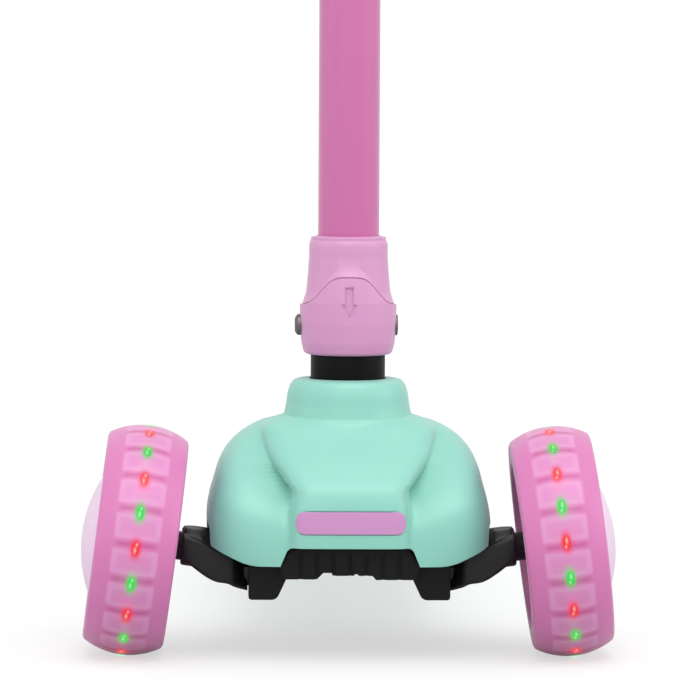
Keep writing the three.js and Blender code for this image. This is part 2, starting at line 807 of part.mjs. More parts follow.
function frontBase() {
  const plate = block(
    [-podOuter + tubeWall, basePlateFront, baseTop - basePlateThickness],
    [podOuter - tubeWall, deckFront - gap, baseTop],
  );
  const pods = sides.map(({ sign }) => cut(mirrored(pod(), sign), ...podCuts().map((tool) => mirrored(tool, sign))));
  const seats = sides.map(({ sign }) =>
    mirrored(onKingpin(bar("z", kingpinHeadRadius + 2 * gap, kingpinTop, overrun + overrun)), sign),
  );
  const bossBottom = pivotHeight - baseTop + basePlateThickness / 2;
  const boss = inFront(bar("z", columnBossRadius, -bossBottom, columnBossTop - pivotHeight));
  const bore = inFront(bar("z", columnRadius + gap, -columnBottom - gap, 0));
  const trayTop = deckBottom + trayThickness;
  const tray = block([-trayHalfWidth, trayFront, deckBottom + gap], [trayHalfWidth, trayBack, trayTop]);
  const riser = block(
    [-trayHalfWidth, trayFront - gap, deckBottom + gap],
    [trayHalfWidth, deckFront - gap, baseTop - basePlateThickness / 2],
  );
  const stopX = springStopHalfSpacing;
  const springCentre = new THREE.Vector3(0, springReach, springLevel).applyMatrix4(tieFrame);
  const stops = sides.map(({ sign }) =>
    block(
      [sign * stopX - springStopThickness / 2, springCentre.y - springOuter, springCentre.z - springOuter],
      [sign * stopX + springStopThickness / 2, springCentre.y + 2 * springOuter, baseTop - tubeWall],
    ),
  );
  return cut(join(plate, grille(), ...pods, boss, tray, riser, ...stops), bore, ...seats);
}

front.add(part("front_base", blackPlastic(), frontBase()));

// Front shell: two rounded lobes and a waisted hood, joined, hollowed and opened
// Height, half width, front and back, each as a share of the shell's own size
const lobeShares = [
  { height: -0.02, width: 0.98, front: 0.97, back: 0.98 },
  { height: 0.1, width: 0.993, front: 1, back: 1 },
  { height: 0.28, width: 1, front: 1, back: 1 },
  { height: 0.42, width: 0.982, front: 0.95, back: 0.99 },
  { height: 0.54, width: 0.954, front: 0.85, back: 0.96 },
  { height: 0.66, width: 0.925, front: 0.7, back: 0.91 },
  { height: 0.77, width: 0.879, front: 0.5, back: 0.84 },
  { height: 0.89, width: 0.78, front: 0.25, back: 0.74 },
  { height: 0.95, width: 0.7, front: 0.1, back: 0.68 },
  { height: 1, width: 0.6, front: -0.05, back: 0.62 },
  { height: 1.02, width: 0.45, front: -0.25, back: 0.55 },
];
const lobePower = 3.6;
// Half width and front of the hood, with its corners' power, rising from square to round
const hoodShares = [
  { height: -0.02, width: 0.8, front: 1, power: 8 },
  { height: 0.14, width: 0.76, front: 1, power: 8 },
  { height: 0.44, width: 0.73, front: 0.985, power: 7 },
  { height: 0.55, width: 0.72, front: 0.93, power: 6 },
  { height: 0.63, width: 0.75, front: 0.8, power: 5 },
  { height: 0.77, width: 0.86, front: 0.5, power: 4 },
  { height: 0.89, width: 0.96, front: 0.25, power: 3.4 },
  { height: 0.975, width: 1, front: 0.07, power: 3 },
  { height: 1.015, width: 0.95, front: -0.02, power: 2.8 },
  { height: 1.035, width: 0.84, front: -0.1, power: 2.6 },
];

const shellLevel = (height, inset) => shellBottom + height * (shellShoulder - shellBottom) - inset;

// The hollow inside follows every other level
const levelsOf = (shares, inset) => shares.filter((_, i) => inset === 0 || i % 2 === 0 || i === shares.length - 1);

function lobeForm(inset) {
  return loft(
    levelsOf(lobeShares, inset).map(({ height, width, front: reach, back }) =>
      squareRing(
        width * shellHalfWidth - inset,
        reach * shellFront + inset,
        back * shellBack - inset,
        shellLevel(height, inset),
        lobePower,
        inset === 0 ? shellSides : hollowSides,
      ),
    ),
  );
}

function hoodForm(inset, swell = 0) {
  return loft(
    levelsOf(hoodShares, inset).map(({ height, width, front: reach, power }) =>
      squareRing(
        width * hoodHalfWidth - inset + swell,
        reach * hoodFront + inset - swell,
        hoodBack,
        shellLevel(height, inset),
        power,
        inset === 0 ? shellSides : hollowSides,
      ),
    ),
  );
}

function neckOuter() {
  const profile = [
    [0, -neckRoot],
    [neckBaseRadius, -neckRoot],
    [neckBaseRadius, -neckBase],
    [(neckBaseRadius + neckTopRadius) / 2, -neckTop - 2 * neckRound],
    [neckTopRadius, -neckTop - neckRound],
    [neckTopRadius - neckRound * (1 - Math.SQRT1_2), -neckTop - neckRound * (1 - Math.SQRT1_2)],
    [neckTopRadius - neckRound, -neckTop],
    [0, -neckTop],
  ];
  return inFront(revolve(profile));
}

function shellOpenings() {
  const low = shellBottom - overrun;
  const cutOut = new THREE.Shape();
  cutOut.moveTo(-cutOutBottomHalfWidth, low);
  cutOut.lineTo(cutOutBottomHalfWidth, low);
  cutOut.lineTo(cutOutBottomHalfWidth, shellBottom);
  cutOut.lineTo(cutOutTopHalfWidth, cutOutTop - cutOutRound);
  cutOut.quadraticCurveTo(cutOutTopHalfWidth - cutOutEase, cutOutTop, cutOutTopHalfWidth - cutOutRound, cutOutTop);
  cutOut.lineTo(-cutOutTopHalfWidth + cutOutRound, cutOutTop);
  cutOut.quadraticCurveTo(-cutOutTopHalfWidth + cutOutEase, cutOutTop, -cutOutTopHalfWidth, cutOutTop - cutOutRound);
  cutOut.lineTo(-cutOutBottomHalfWidth, shellBottom);
  const grilleMouth = frontPlate(cutOut, hoodFront - overrun, podFront, 3);
  const outer = shellHalfWidth + overrun;
  const rise = (skirtRise * (outer - skirtInner)) / (shellHalfWidth - skirtInner);
  const wedge = shapeOf([
    [skirtInner, shellBottom],
    [skirtInner, low],
    [outer, low],
    [outer, shellBottom + rise],
  ]);
  const skirts = sides.map(({ sign }) =>
    mirrored(frontPlate(wedge, hoodFront - overrun, shellBack + overrun), sign),
  );
  const arch = new THREE.Shape();
  arch.moveTo(-armArchHalfLength, low);
  arch.lineTo(armArchHalfLength, low);
  arch.lineTo(armArchHalfLength, armArchTop - armArchHalfLength / 2);
  arch.quadraticCurveTo(armArchHalfLength, armArchTop, armArchHalfLength / 2, armArchTop);
  arch.lineTo(-armArchHalfLength / 2, armArchTop);
  arch.quadraticCurveTo(-armArchHalfLength, armArchTop, -armArchHalfLength, armArchTop - armArchHalfLength / 2);
  const arches = sides.map(({ sign }) => mirrored(sidePlate(arch, armArchInner, outer, 4), sign));
  const under = block([-outer, hoodFront - overrun, low], [outer, shellBack + overrun, shellBottom]);
  const deckRoom = block(
    [-deckHalfWidth - gap, deckFront - gap, low],
    [deckHalfWidth + gap, shellBack + overrun, deckTop + gap],
  );
  const columnRoom = inFront(bar("z", columnRadius + 2 * gap, -neckRoot, 0));
  return [grilleMouth, ...skirts, ...arches, under, deckRoom, columnRoom];
}

const stadium = (halfLength, halfHeight) => {
  const shape = new THREE.Shape();
  const reach = halfLength - halfHeight;
  shape.absarc(reach, badgeHeight, halfHeight, -Math.PI / 2, Math.PI / 2);
  shape.absarc(-reach, badgeHeight, halfHeight, Math.PI / 2, (3 * Math.PI) / 2);
  return shape;
};

const badgeBack = hoodFront + badgeSeatDepth;

function frontShell() {
  const outer = join(lobeForm(0), hoodForm(0), neckOuter());
  const neckInner = inFront(bar("z", neckTopRadius - shellWall, -neckRoot - overrun, -neckTop - neckLip));
  const inner = join(lobeForm(shellWall), hoodForm(shellWall), neckInner);
  const padTop = badgeHalfHeight + badgePadWall;
  const pad = common(
    block([-hoodHalfWidth, hoodFront, badgeHeight - padTop], [hoodHalfWidth, badgeBack + badgePadWall, badgeHeight + padTop]),
    hoodForm(shellWall / 2),
  );
  const seat = frontPlate(stadium(badgeHalfLength + gap, badgeHalfHeight + gap), hoodFront - overrun, badgeBack + gap);
  return cut(join(cut(outer, inner), pad), seat, ...shellOpenings());
}

front.add(part("front_shell", mintPlastic(), frontShell()));

const badge = common(
  frontPlate(stadium(badgeHalfLength, badgeHalfHeight), hoodFront - overrun, badgeBack),
  hoodForm(0, badgeProud),
);
front.add(part("badge_plate", pinkPlastic(), badge));

// Deck with cells under it and a fork for the rear wheel, in the scooter's own frame
const deckFrontY = frontAxleY + deckFront;
const deckEndY = rearAxleY - deckTail;

function deckOutline(inset, frontY, backY) {
  const wide = deckHalfWidth - inset;
  const narrowY = rearAxleY - deckNarrowing;
  const frontWidth = deckFrontHalfWidth - inset;
  const tail = forkOuter - inset / 2;
  const shape = new THREE.Shape();
  shape.moveTo(-frontWidth + deckCorner, frontY);
  shape.lineTo(frontWidth - deckCorner, frontY);
  shape.quadraticCurveTo(frontWidth, frontY, frontWidth, frontY + deckCorner);
  shape.quadraticCurveTo(wide, (frontY + narrowY) / 2, wide, narrowY - deckCorner);
  shape.bezierCurveTo(wide, narrowY + deckCorner, tail, narrowY + deckCorner, tail, backY);
  shape.lineTo(-tail, backY);
  shape.bezierCurveTo(-tail, narrowY + deckCorner, -wide, narrowY + deckCorner, -wide, narrowY - deckCorner);
  shape.quadraticCurveTo(-wide, (frontY + narrowY) / 2, -frontWidth, frontY + deckCorner);
  shape.quadraticCurveTo(-frontWidth, frontY, -frontWidth + deckCorner, frontY);
  return shape;
}

const brakePinY = -brakePinReach * Math.cos(Math.PI - fenderFrontAngle);
const brakePinZ = brakePinReach * Math.sin(fenderFrontAngle);

// One side of the rear fork, in the rear axle's frame
function forkSide() {
  const top = deckTop - rearWheelRadius;
  const bottom = deckBottom - rearWheelRadius;
  const shape = new THREE.Shape();
  shape.moveTo(-forkRoot, bottom);
  shape.lineTo(-deckTail, bottom);
  shape.lineTo(-forkEyeRadius, -forkEyeRadius);
  shape.absarc(0, 0, forkEyeRadius, -Math.PI / 2, Math.PI / 4);
  shape.lineTo(brakePinY + brakeEyeRadius + tubeWall, top);
  shape.lineTo(-forkRoot, top);
  const plate = sidePlate(shape, forkInner, forkOuter, 5);
  const boss = bar("x", spacerRadius, rearWheelWidth / 2 + rearBearingInset, forkInner + tubeWall, pinSides);
  const axleHole = bar("x", boltRadius + gap, 0, forkOuter + overrun, pinSides);
  const pinHole = bar("x", brakePinRadius + gap, 0, forkOuter + overrun, pinSides).translate(0, brakePinY, brakePinZ);
  return cut(join(plate, boss), axleHole, pinHole).translate(0, rearAxleY, rearWheelRadius);
}

function deckCellCuts() {
  const from = frontAxleY + trayBack + deckWall;
  const to = rearAxleY - deckNarrowing - deckCorner;
  const pitch = (to - from) / deckCells;
  const reach = deckFrontHalfWidth - 2 * deckWall;
  return Array.from({ length: deckCells }, (_, i) => i).flatMap((i) =>
    sides.map(({ sign }) => {
      const near = Math.min(sign * (deckWall / 2), sign * reach);
      const far = Math.max(sign * (deckWall / 2), sign * reach);
      return block([near, from + pitch * i, 0], [far, from + pitch * (i + 1) - deckWall, deckTop - deckSkin]);
    }),
  );
}

function deck() {
  const body = slab(deckOutline(0, deckFrontY, deckEndY), deckBottom, deckTop, 6);
  const trayRoom = block(
    [-trayHalfWidth - gap, deckFrontY - overrun, 0],
    [trayHalfWidth + gap, frontAxleY + trayBack + gap, deckBottom + trayThickness + gap],
  );
  const forks = sides.map(({ sign }) => mirrored(forkSide(), sign));
  return cut(join(body, ...forks), trayRoom, ...deckCellCuts());
}

const mat = slab(
  deckOutline(matInset, frontAxleY + matFront, rearAxleY - matBack),
  deckTop + gap,
  deckTop + gap + matThickness - gap,
  6,
);

scooter.add(part("deck", mintPlastic(), deck()), part("grip_mat", blackRubber(), mat));

// Rear wheel
function rearTyre() {
  const half = rearWheelWidth / 2;
  const crown = crownProfile(rearWheelRadius, rearCrownRadius, half, rearShoulderRadius);
  const side = crown[0][0] - rearShoulderRadius;
  const outline = [[rearRimRadius + gap, -half], [side, -half], ...crown, [side, half], [rearRimRadius + gap, half]];
  return alongX(revolve(closeLoop(outline), wheelSides));
}

function rearHub() {
  const half = rearWheelWidth / 2;
  const core = boltRadius + 2 * tubeWall;
  const rim = tube(rearRimRadius, rearRimRadius - deckWall, -half + tubeWall, half - tubeWall, wheelSides);
  const web = tube(rearRimRadius - tubeWall, core, -rearWebHalfThickness, rearWebHalfThickness);
  const boss = tube(rearBossRadius, core, -half, half);
  const pocketFrom = half - bearingWidth - rearBearingInset - gap;
  const pockets = sides.map(({ sign }) =>
    mirrored(bar("x", bearingRadius + gap, pocketFrom, half + overrun), sign),
  );
  return cut(join(alongX(rim), alongX(web), alongX(boss)), ...pockets);
}

const rearBearingFrom = rearWheelWidth / 2 - bearingWidth - rearBearingInset;

function rearAxle() {
  const shank = bar("x", boltRadius, -forkOuter - tubeWall, forkOuter + boltHeadHeight + tubeWall, pinSides);
  const head = bar("x", boltHeadRadius, -forkOuter - gap - boltHeadHeight, -forkOuter - gap, 6);
  return join(shank, head);
}

const axleNut = () =>
  cut(
    bar("x", boltHeadRadius, forkOuter + gap, forkOuter + gap + boltHeadHeight, 6),
    bar("x", boltRadius + gap, 0, forkOuter + overrun, pinSides),
  );

const spacerEnd = rearBearingFrom - gap;
const rearSpacer = () => alongX(tube(spacerRadius, boltRadius + gap, -spacerEnd, spacerEnd, bearingSides));

rear.add(
  part("rear_tyre", pinkTyre(), rearTyre()),
  part("rear_hub", lilacPlastic(), rearHub()),
  part("rear_bearing_left", bearingSteel(), bearing(rearBearingFrom)),
  part("rear_bearing_right", bearingSteel(), bearing(-rearBearingFrom - bearingWidth)),
  part("rear_spacer", steel(), rearSpacer()),
  part("rear_axle", steel(), rearAxle()),
  part("rear_axle_nut", steel(), axleNut()),
);

// Brake fender on its pin, with a torsion spring
function brakeFender() {
  const shape = new THREE.Shape();
  shape.absarc(0, 0, fenderOuterRadius, fenderRearAngle, fenderFrontAngle);
  shape.absarc(0, 0, fenderInnerRadius, fenderFrontAngle, fenderRearAngle, true);
  const band = sidePlate(shape, -fenderHalfWidth, fenderHalfWidth, 14);
  const eye = (sign) =>
    mirrored(bar("x", brakeEyeRadius, brakeEyeInner, fenderHalfWidth).translate(0, brakePinY, brakePinZ), sign);
  const springRoom = bar("x", brakeEyeRadius + tubeWall, -brakeEyeInner, brakeEyeInner).translate(0, brakePinY, brakePinZ);
  const pinHole = bar("x", brakePinRadius + gap, -overrun * 2, overrun * 2, pinSides).translate(0, brakePinY, brakePinZ);
  return cut(join(cut(band, springRoom), eye(1), eye(-1)), pinHole);
}

const brakePin = bar("x", brakePinRadius, -forkOuter - tubeWall, forkOuter + tubeWall, pinSides);
const brakeSpring = coil(
  "brake_spring",
  brakeSpringRadius,
  brakeSpringWire,
  brakeSpringTurns,
  gap - brakeEyeInner,
  brakeEyeInner - gap,
);
rear.add(
  part("brake_fender", blackPlastic(), brakeFender()),
  part("brake_pin", steel(), brakePin.translate(0, brakePinY, brakePinZ)),
  part("brake_spring", springSteel(), brakeSpring.translate(0, brakePinY, brakePinZ)),
);

// Folding hinge: a cup fixed to the column and a ball-ended knuckle on the stem
function hingeForm(inset, bottom) {
  const profile = [
    [0, bottom],
    [hingeBaseRadius - inset, bottom],
    [(hingeBaseRadius + 2 * hingeBellyRadius) / 3 - inset, -lugRadius],
    [hingeBellyRadius - inset, 0],
    [hingeBellyRadius - inset, lugRadius],
    [(hingeBellyRadius + hingeNeckRadius) / 2 - inset, (lugRadius + rearStep) / 2],
    [hingeNeckRadius + hingeRimEdge - inset, rearStep],
    [hingeNeckRadius - inset, socketFloor],
    [hingeNeckRadius - inset, hingeTop - hingeRimEdge],
    [hingeNeckRadius - inset - hingeRimEdge, hingeTop],
    [0, hingeTop],
  ];
  return revolve(profile, wheelSides);
}

// The front of the cup: below an arch that falls to either side
function archPlate(lift, back) {
  const half = hingeBellyRadius + hingeRimEdge;
  const steps = 12;
  const crest = Array.from({ length: steps + 1 }, (_, i) => {
    const x = half - (2 * half * i) / steps;
    return [x, cupRise + lift + cupArchRise * Math.cos((Math.PI * x) / (2 * half))];
  });
  const shape = shapeOf([[-half, -cupBottom - overrun], [half, -cupBottom - overrun], ...crest]);
  return frontPlate(shape, -half - overrun, back);
}

const pivotBar = (radius, from, to) => bar("x", radius, from, to, pinSides);

function hingeCup() {
  const form = hingeForm(0, -cupBottom);
  const cheeks = pivotBar(cupCheekRadius, -overrun * 2, overrun * 2);
  const wide = hingeBellyRadius + overrun;
  const floorZone = block([-wide, -wide, -cupBottom - overrun], [wide, wide, cupFloor - cupBottom]);
  const body = common(form, join(archPlate(0, 0), cheeks, floorZone));
  const bore = bar("z", cupBoreRadius, cupFloor - cupBottom, hingeTop + overrun, wheelSides);
  const flats = block([-cupBoreRadius, 0, cupFloor - cupBottom], [cupBoreRadius, wide, hingeTop]);
  const lugRoom = block(
    [-lugHalfWidth - gap, -lugRadius - gap, -cupBottom - overrun],
    [lugHalfWidth + gap, lugRadius + gap, 0],
  );
  const hole = pivotBar(boltRadius + gap, -wide, wide);
  const headRoom = pivotBar(pivotHeadRadius + gap, -wide, -hingeBellyRadius + pivotHeadSeat);
  const nutRoom = pivotBar(pivotHeadRadius + gap, hingeBellyRadius - pivotNutSeat, wide);
  return cut(body, bore, flats, lugRoom, hole, headRoom, nutRoom);
}

function stemKnuckle() {
  const wide = hingeBellyRadius + overrun;
  const cheekRoom = join(archPlate(gap, gap), pivotBar(cupCheekRadius + 2 * gap, -wide, wide));
  const shoulders = cut(common(hingeForm(hingeStep, 0), block([-wide, -wide, 0], [wide, wide, hingeTop])), cheekRoom);
  const core = bar("z", ballRadius - hingeStep, 0, hingeTop - hingeRimEdge, wheelSides);
  const ball = new THREE.SphereGeometry(ballRadius - hingeStep, roundSides, roundSides / 2).rotateX(Math.PI / 2);
  const lower = common(ball, pivotBar(ballDiscRadius, -wide, wide));
  const rearFlat = block([-wide, ballDiscRadius, -wide], [wide, wide, rearStep]);
  const slot = block([-lugHalfWidth - gap, -lugRadius - gap, -wide], [lugHalfWidth + gap, wide, lugRadius + gap]);
  const socket = bar("z", stemRadius + gap, socketFloor, hingeTop + overrun, wheelSides);
  const hole = pivotBar(boltRadius + gap, -wide, wide);
  const buttonBore = bar("y", buttonRadius + gap, -buttonBoreEnd, wide, pinSides).translate(0, 0, buttonHeight);
  return cut(join(shoulders, core, lower), rearFlat, slot, socket, hole, buttonBore);
}

// The column's foot stands in the base, and its lug fills the knuckle's slot
function steeringColumn() {
  const shaft = bar("z", columnRadius, -columnBottom, -cupBottom - gap);
  const lug = block([-lugHalfWidth, -lugRadius, -cupBottom - columnRadius], [lugHalfWidth, lugRadius, 0]);
  const lugTop = pivotBar(lugRadius, -lugHalfWidth, lugHalfWidth);
  return cut(join(shaft, lug, lugTop), pivotBar(boltRadius + gap, -overrun, overrun));
}

function pivotBolt() {
  const seat = hingeBellyRadius - pivotHeadSeat + gap;
  const shank = pivotBar(boltRadius, -seat - tubeWall, hingeBellyRadius);
  return join(shank, pivotBar(pivotHeadRadius, -hingeBellyRadius - pivotHeadProud, -seat));
}

function pivotNut() {
  const from = hingeBellyRadius - pivotNutSeat + gap;
  return cut(
    pivotBar(pivotHeadRadius, from, hingeBellyRadius + pivotNutProud),
    pivotBar(boltRadius + gap, 0, hingeBellyRadius + gap),
  );
}

function releaseButton() {
  const end = ballRadius + buttonProud;
  const profile = [
    [0, end - buttonLength],
    [buttonRadius, end - buttonLength],
    [buttonRadius, end - buttonRound],
    [buttonRadius - buttonRound, end],
    [0, end],
  ];
  return revolve(profile, pinSides).rotateX(-Math.PI / 2).translate(0, 0, buttonHeight);
}

function releaseSpring() {
  const from = -buttonBoreEnd + gap;
  const to = ballRadius + buttonProud - buttonLength - gap;
  const spring = coil("release_spring", buttonSpringRadius, buttonSpringWire, buttonSpringTurns, from, to);
  return spring.rotateZ(Math.PI / 2).translate(0, 0, buttonHeight);
}

stem.add(
  part("hinge_cup", pinkPlastic(), hingeCup()),
  part("stem_knuckle", pinkPlastic(), stemKnuckle()),
  part("steering_column", blackPlastic(), steeringColumn()),
  part("pivot_bolt", steel(), pivotBolt()),
  part("pivot_nut", steel(), pivotNut()),
  part("release_button", blackPlastic(), releaseButton()),
  part("release_spring", springSteel(), releaseSpring()),
);

// Stem tube, bushing and sliding inner tube
const bushingOuter = stemRadius - tubeWall - gap;
const bushingProfile = [
  [innerTubeRadius + gap, stemTop - bushingLength],
  [bushingOuter, stemTop - bushingLength],
  [bushingOuter, stemTop + gap],
  [stemRadius, stemTop + gap],
  [stemRadius, stemTop + gap + bushingFlange],
  [innerTubeRadius + gap, stemTop + gap + bushingFlange],
];
const innerTubeTop = handlebarRise - crossbarRadius - gap - tubeWall;

stem.add(
  part("stem_tube", pinkPaint(), tube(stemRadius, stemRadius - tubeWall, socketFloor + gap, stemTop, wheelSides)),
  part("stem_bushing", blackPlastic(), revolve(closeLoop(bushingProfile))),
  part("inner_tube", steel(), tube(innerTubeRadius, innerTubeRadius - tubeWall, innerTubeBottom, innerTubeTop)),
);

// Quick clamp: split collar with two ears, a bolt through them and a cam lever
const clampTop = stemTop;
const clampMiddle = clampTop - clampHeight / 2;
const clampOuter = stemRadius + gap + clampWall;
const clampBoltY = clampOuter + clampEarLength / 2;
const clampEarEnd = clampOuter + clampEarLength;

function clampCollar() {
  const ring = tube(clampOuter, stemRadius + gap, clampTop - clampHeight, clampTop, wheelSides);
  const ears = block(
    [-clampEarHalfWidth, stemRadius + clampWall / 2, clampMiddle - clampEarHeight / 2],
    [clampEarHalfWidth, clampEarEnd, clampMiddle + clampEarHeight / 2],
  );
  const slit = block([-clampSlit / 2, 0, 0], [clampSlit / 2, clampEarEnd + overrun, clampTop + overrun]);
  const hole = bar("x", clampBoltRadius + gap, -overrun, overrun, pinSides).translate(0, clampBoltY, clampMiddle);
  return cut(join(ring, ears), slit, hole);
}

function clampBolt() {
  const shank = bar("x", clampBoltRadius, -clampEarHalfWidth - clampBoltNutHeight, leverPinOffset, pinSides);
  const nutFrom = -clampEarHalfWidth - gap - clampBoltNutHeight;
  const nut = bar("x", clampBoltNutRadius, nutFrom, -clampEarHalfWidth - gap, 6);
  const eyeHalf = leverEyeThickness / 2;
  const eye = bar("z", leverEyeRadius, -eyeHalf, eyeHalf, pinSides).translate(leverPinOffset, 0, 0);
  const hole = bar("z", leverPinRadius + gap, -overrun, overrun, pinSides).translate(leverPinOffset, 0, 0);
  return cut(join(shank, nut, eye), hole).translate(0, clampBoltY, clampMiddle);
}

const leverPin = bar("z", leverPinRadius, -leverHalfHeight, leverHalfHeight, pinSides);

function clampLever() {
  const shape = new THREE.Shape();
  shape.moveTo(leverThickness / 2, 0);
  shape.quadraticCurveTo(leverSweep + leverThickness, -leverLength / 3, leverSweep + leverThickness / 2, -leverLength);
  shape.lineTo(leverSweep - leverThickness / 2, -leverLength);
  shape.quadraticCurveTo(leverSweep, -leverLength / 3, -leverThickness / 2, 0);
  const handle = slab(shape, -leverHalfHeight, leverHalfHeight, 8);
  const cam = bar("z", leverEyeRadius, -leverHalfHeight, leverHalfHeight, pinSides);
  const eyeRoomHalf = leverEyeThickness / 2 + gap;
  const eyeRoom = block(
    [-overrun, -leverEyeRadius - 2 * gap, -eyeRoomHalf],
    [overrun, leverEyeRadius + overrun, eyeRoomHalf],
  );
  const hole = bar("z", leverPinRadius + gap, -overrun, overrun, pinSides);
  return cut(join(handle, cam), eyeRoom, hole).translate(leverPinOffset, clampBoltY, clampMiddle);
}

stem.add(
  part("clamp_collar", blackPlastic(), clampCollar()),
  part("clamp_bolt", steel(), clampBolt()),
  part("lever_pin", steel(), leverPin.translate(leverPinOffset, clampBoltY, clampMiddle)),
  part("clamp_lever", blackPlastic(), clampLever()),
);

// Handlebar: T-shaped head, crossbar and two grips
function teeJoint() {
  const socketFrom = handlebarRise - crossbarRadius - teeSocketLength;
  const socket = bar("z", teeSocketRadius, socketFrom, handlebarRise, roundSides);
  const arms = bar("x", teeBarRadius, -teeBarHalfLength, teeBarHalfLength).translate(0, 0, handlebarRise);
  const tubeRoom = bar("z", innerTubeRadius + gap, socketFrom - overrun, innerTubeTop + gap);
  const barRoom = bar("x", crossbarRadius + gap, -teeBarHalfLength - overrun, teeBarHalfLength + overrun);
  return cut(join(socket, arms), tubeRoom, barRoom.translate(0, 0, handlebarRise));
}

function grip() {
  const end = handlebarHalfWidth;
  const barEnd = end - gripEndWall;
  const bore = crossbarRadius + gap;
  const from = gripInnerEnd + gripFlangeWidth;
  const pitch = (end - gripEndRound - from) / gripRingCount;
  const rings = Array.from({ length: gripRingCount }, (_, i) => i).flatMap((i) => [
    [gripRadius - gripRingDepth, from + pitch * (i + 0.4)],
    [gripRadius, from + pitch * (i + 0.9)],
  ]);
  const profile = [
    [0, barEnd + gap],
    [bore, barEnd + gap],
    [bore, gripInnerEnd],
    [gripFlangeRadius, gripInnerEnd],
    [gripFlangeRadius, gripInnerEnd + gripFlangeWidth],
    [gripRadius, from],
    ...rings,
    [gripRadius, end - gripEndRound],
    [gripRadius - gripEndRound, end],
    [0, end],
  ];
  return alongX(revolve(profile)).translate(0, 0, handlebarRise);
}

const barHalf = handlebarHalfWidth - gripEndWall;
const crossbar = alongX(tube(crossbarRadius, crossbarRadius - tubeWall, -barHalf, barHalf));
stem.add(
  part("tee_joint", pinkPaint(), teeJoint()),
  part("crossbar", pinkPaint(), crossbar.translate(0, 0, handlebarRise)),
  ...sides.map(({ name, sign }) => part(`grip_${name}`, mintPlastic(), mirrored(grip(), sign))),
);

export default scooter;
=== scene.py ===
# Three wheel kids scooter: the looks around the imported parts. Sizes are in millimetres until a piece is made.
import math

import bmesh
import bpy
from mathutils import Matrix, Vector


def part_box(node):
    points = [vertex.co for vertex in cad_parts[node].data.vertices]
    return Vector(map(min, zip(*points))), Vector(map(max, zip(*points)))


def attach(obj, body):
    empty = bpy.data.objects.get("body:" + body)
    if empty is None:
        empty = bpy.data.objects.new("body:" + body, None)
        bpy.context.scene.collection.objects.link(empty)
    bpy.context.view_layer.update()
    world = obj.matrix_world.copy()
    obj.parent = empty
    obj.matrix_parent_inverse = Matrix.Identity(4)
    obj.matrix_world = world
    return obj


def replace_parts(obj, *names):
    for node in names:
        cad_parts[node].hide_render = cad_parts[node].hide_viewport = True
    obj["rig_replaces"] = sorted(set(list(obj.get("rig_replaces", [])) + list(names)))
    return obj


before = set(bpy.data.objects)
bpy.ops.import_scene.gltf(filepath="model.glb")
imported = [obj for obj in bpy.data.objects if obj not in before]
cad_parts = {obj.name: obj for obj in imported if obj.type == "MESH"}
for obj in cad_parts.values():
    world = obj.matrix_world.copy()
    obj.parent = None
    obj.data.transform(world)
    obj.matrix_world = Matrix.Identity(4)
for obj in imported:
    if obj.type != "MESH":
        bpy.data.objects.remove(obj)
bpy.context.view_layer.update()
mm = 0.001
sideSigns = {"left": 1, "right": -1}
print("frame loaded:", len(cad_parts), "parts")


# Working helpers

def deselectAll():
    if bpy.context.mode != "OBJECT":
        bpy.ops.object.mode_set(mode="OBJECT")
    bpy.ops.object.select_all(action="DESELECT")


def pick(piece):
    deselectAll()
    piece.select_set(True)
    bpy.context.view_layer.objects.active = piece


def editMesh(piece):
    pick(piece)
    bpy.ops.object.mode_set(mode="EDIT")
    bpy.ops.mesh.select_all(action="SELECT")


def settle(piece, place=Matrix.Identity(4)):
    bpy.context.view_layer.update()
    piece.data.transform(place @ piece.matrix_world)
    piece.matrix_world = Matrix.Identity(4)
    return piece


def moved(x=0, y=0, z=0):
    return Matrix.Translation((x * mm, y * mm, z * mm))


def turned(degrees, axis):
    return Matrix.Rotation(math.radians(degrees), 4, axis)


def roundCorners(outline, steps=4, closed=True):
    # A corner's third number is the radius of its fillet
    points = []
    last = len(outline) - 1
    for i, corner in enumerate(outline):
        here = Vector(corner[:2])
        if len(corner) < 3 or (not closed and i in (0, last)):
            points.append(here)
            continue
        back = (Vector(outline[i - 1][:2]) - here).normalized()
        ahead = (Vector(outline[(i + 1) % len(outline)][:2]) - here).normalized()
        half = back.angle(ahead) / 2
        middle = here + (back + ahead).normalized() * corner[2] / math.sin(half)
        first = here + back * corner[2] / math.tan(half) - middle
        final = here + ahead * corner[2] / math.tan(half) - middle
        points += [middle + first.slerp(final, k / steps).normalized() * corner[2] for k in range(steps + 1)]
    return points


def drawLine(name, points):
    # A single vertex is drawn out along the points, and stays in edit mode
    deselectAll()
    bpy.ops.mesh.primitive_plane_add(size=mm)
    piece = bpy.context.active_object
    piece.name = piece.data.name = name
    bpy.ops.object.mode_set(mode="EDIT")
    bpy.ops.mesh.select_mode(type="VERT")
    bpy.ops.mesh.select_all(action="SELECT")
    bpy.ops.mesh.merge(type="CENTER")
    bpy.ops.transform.translate(value=Vector(points[0]) * mm)
    for here, there in zip(points, points[1:]):
        step = (Vector(there) - Vector(here)) * mm
        bpy.ops.mesh.extrude_vertices_move(TRANSFORM_OT_translate={"value": step})
    bpy.ops.mesh.select_all(action="SELECT")
    return piece


def spunPiece(name, outline, sides=64, closed=True, corners=4):
    # An outline of radius and height, spun about Z
    points = [(r, 0, h) for r, h in roundCorners(outline, corners, closed)]
    if closed:
        points.append(points[0])
    piece = drawLine(name, points)
    bpy.ops.mesh.remove_doubles(threshold=mm / 100)
    bpy.ops.mesh.select_all(action="SELECT")
    bpy.ops.mesh.spin(steps=sides, angle=math.tau, center=(0, 0, 0), axis=(0, 0, 1))
    bpy.ops.mesh.select_all(action="SELECT")
    bpy.ops.mesh.remove_doubles(threshold=mm / 100)
    bpy.ops.mesh.normals_make_consistent(inside=False)
    bpy.ops.object.mode_set(mode="OBJECT")
    return piece


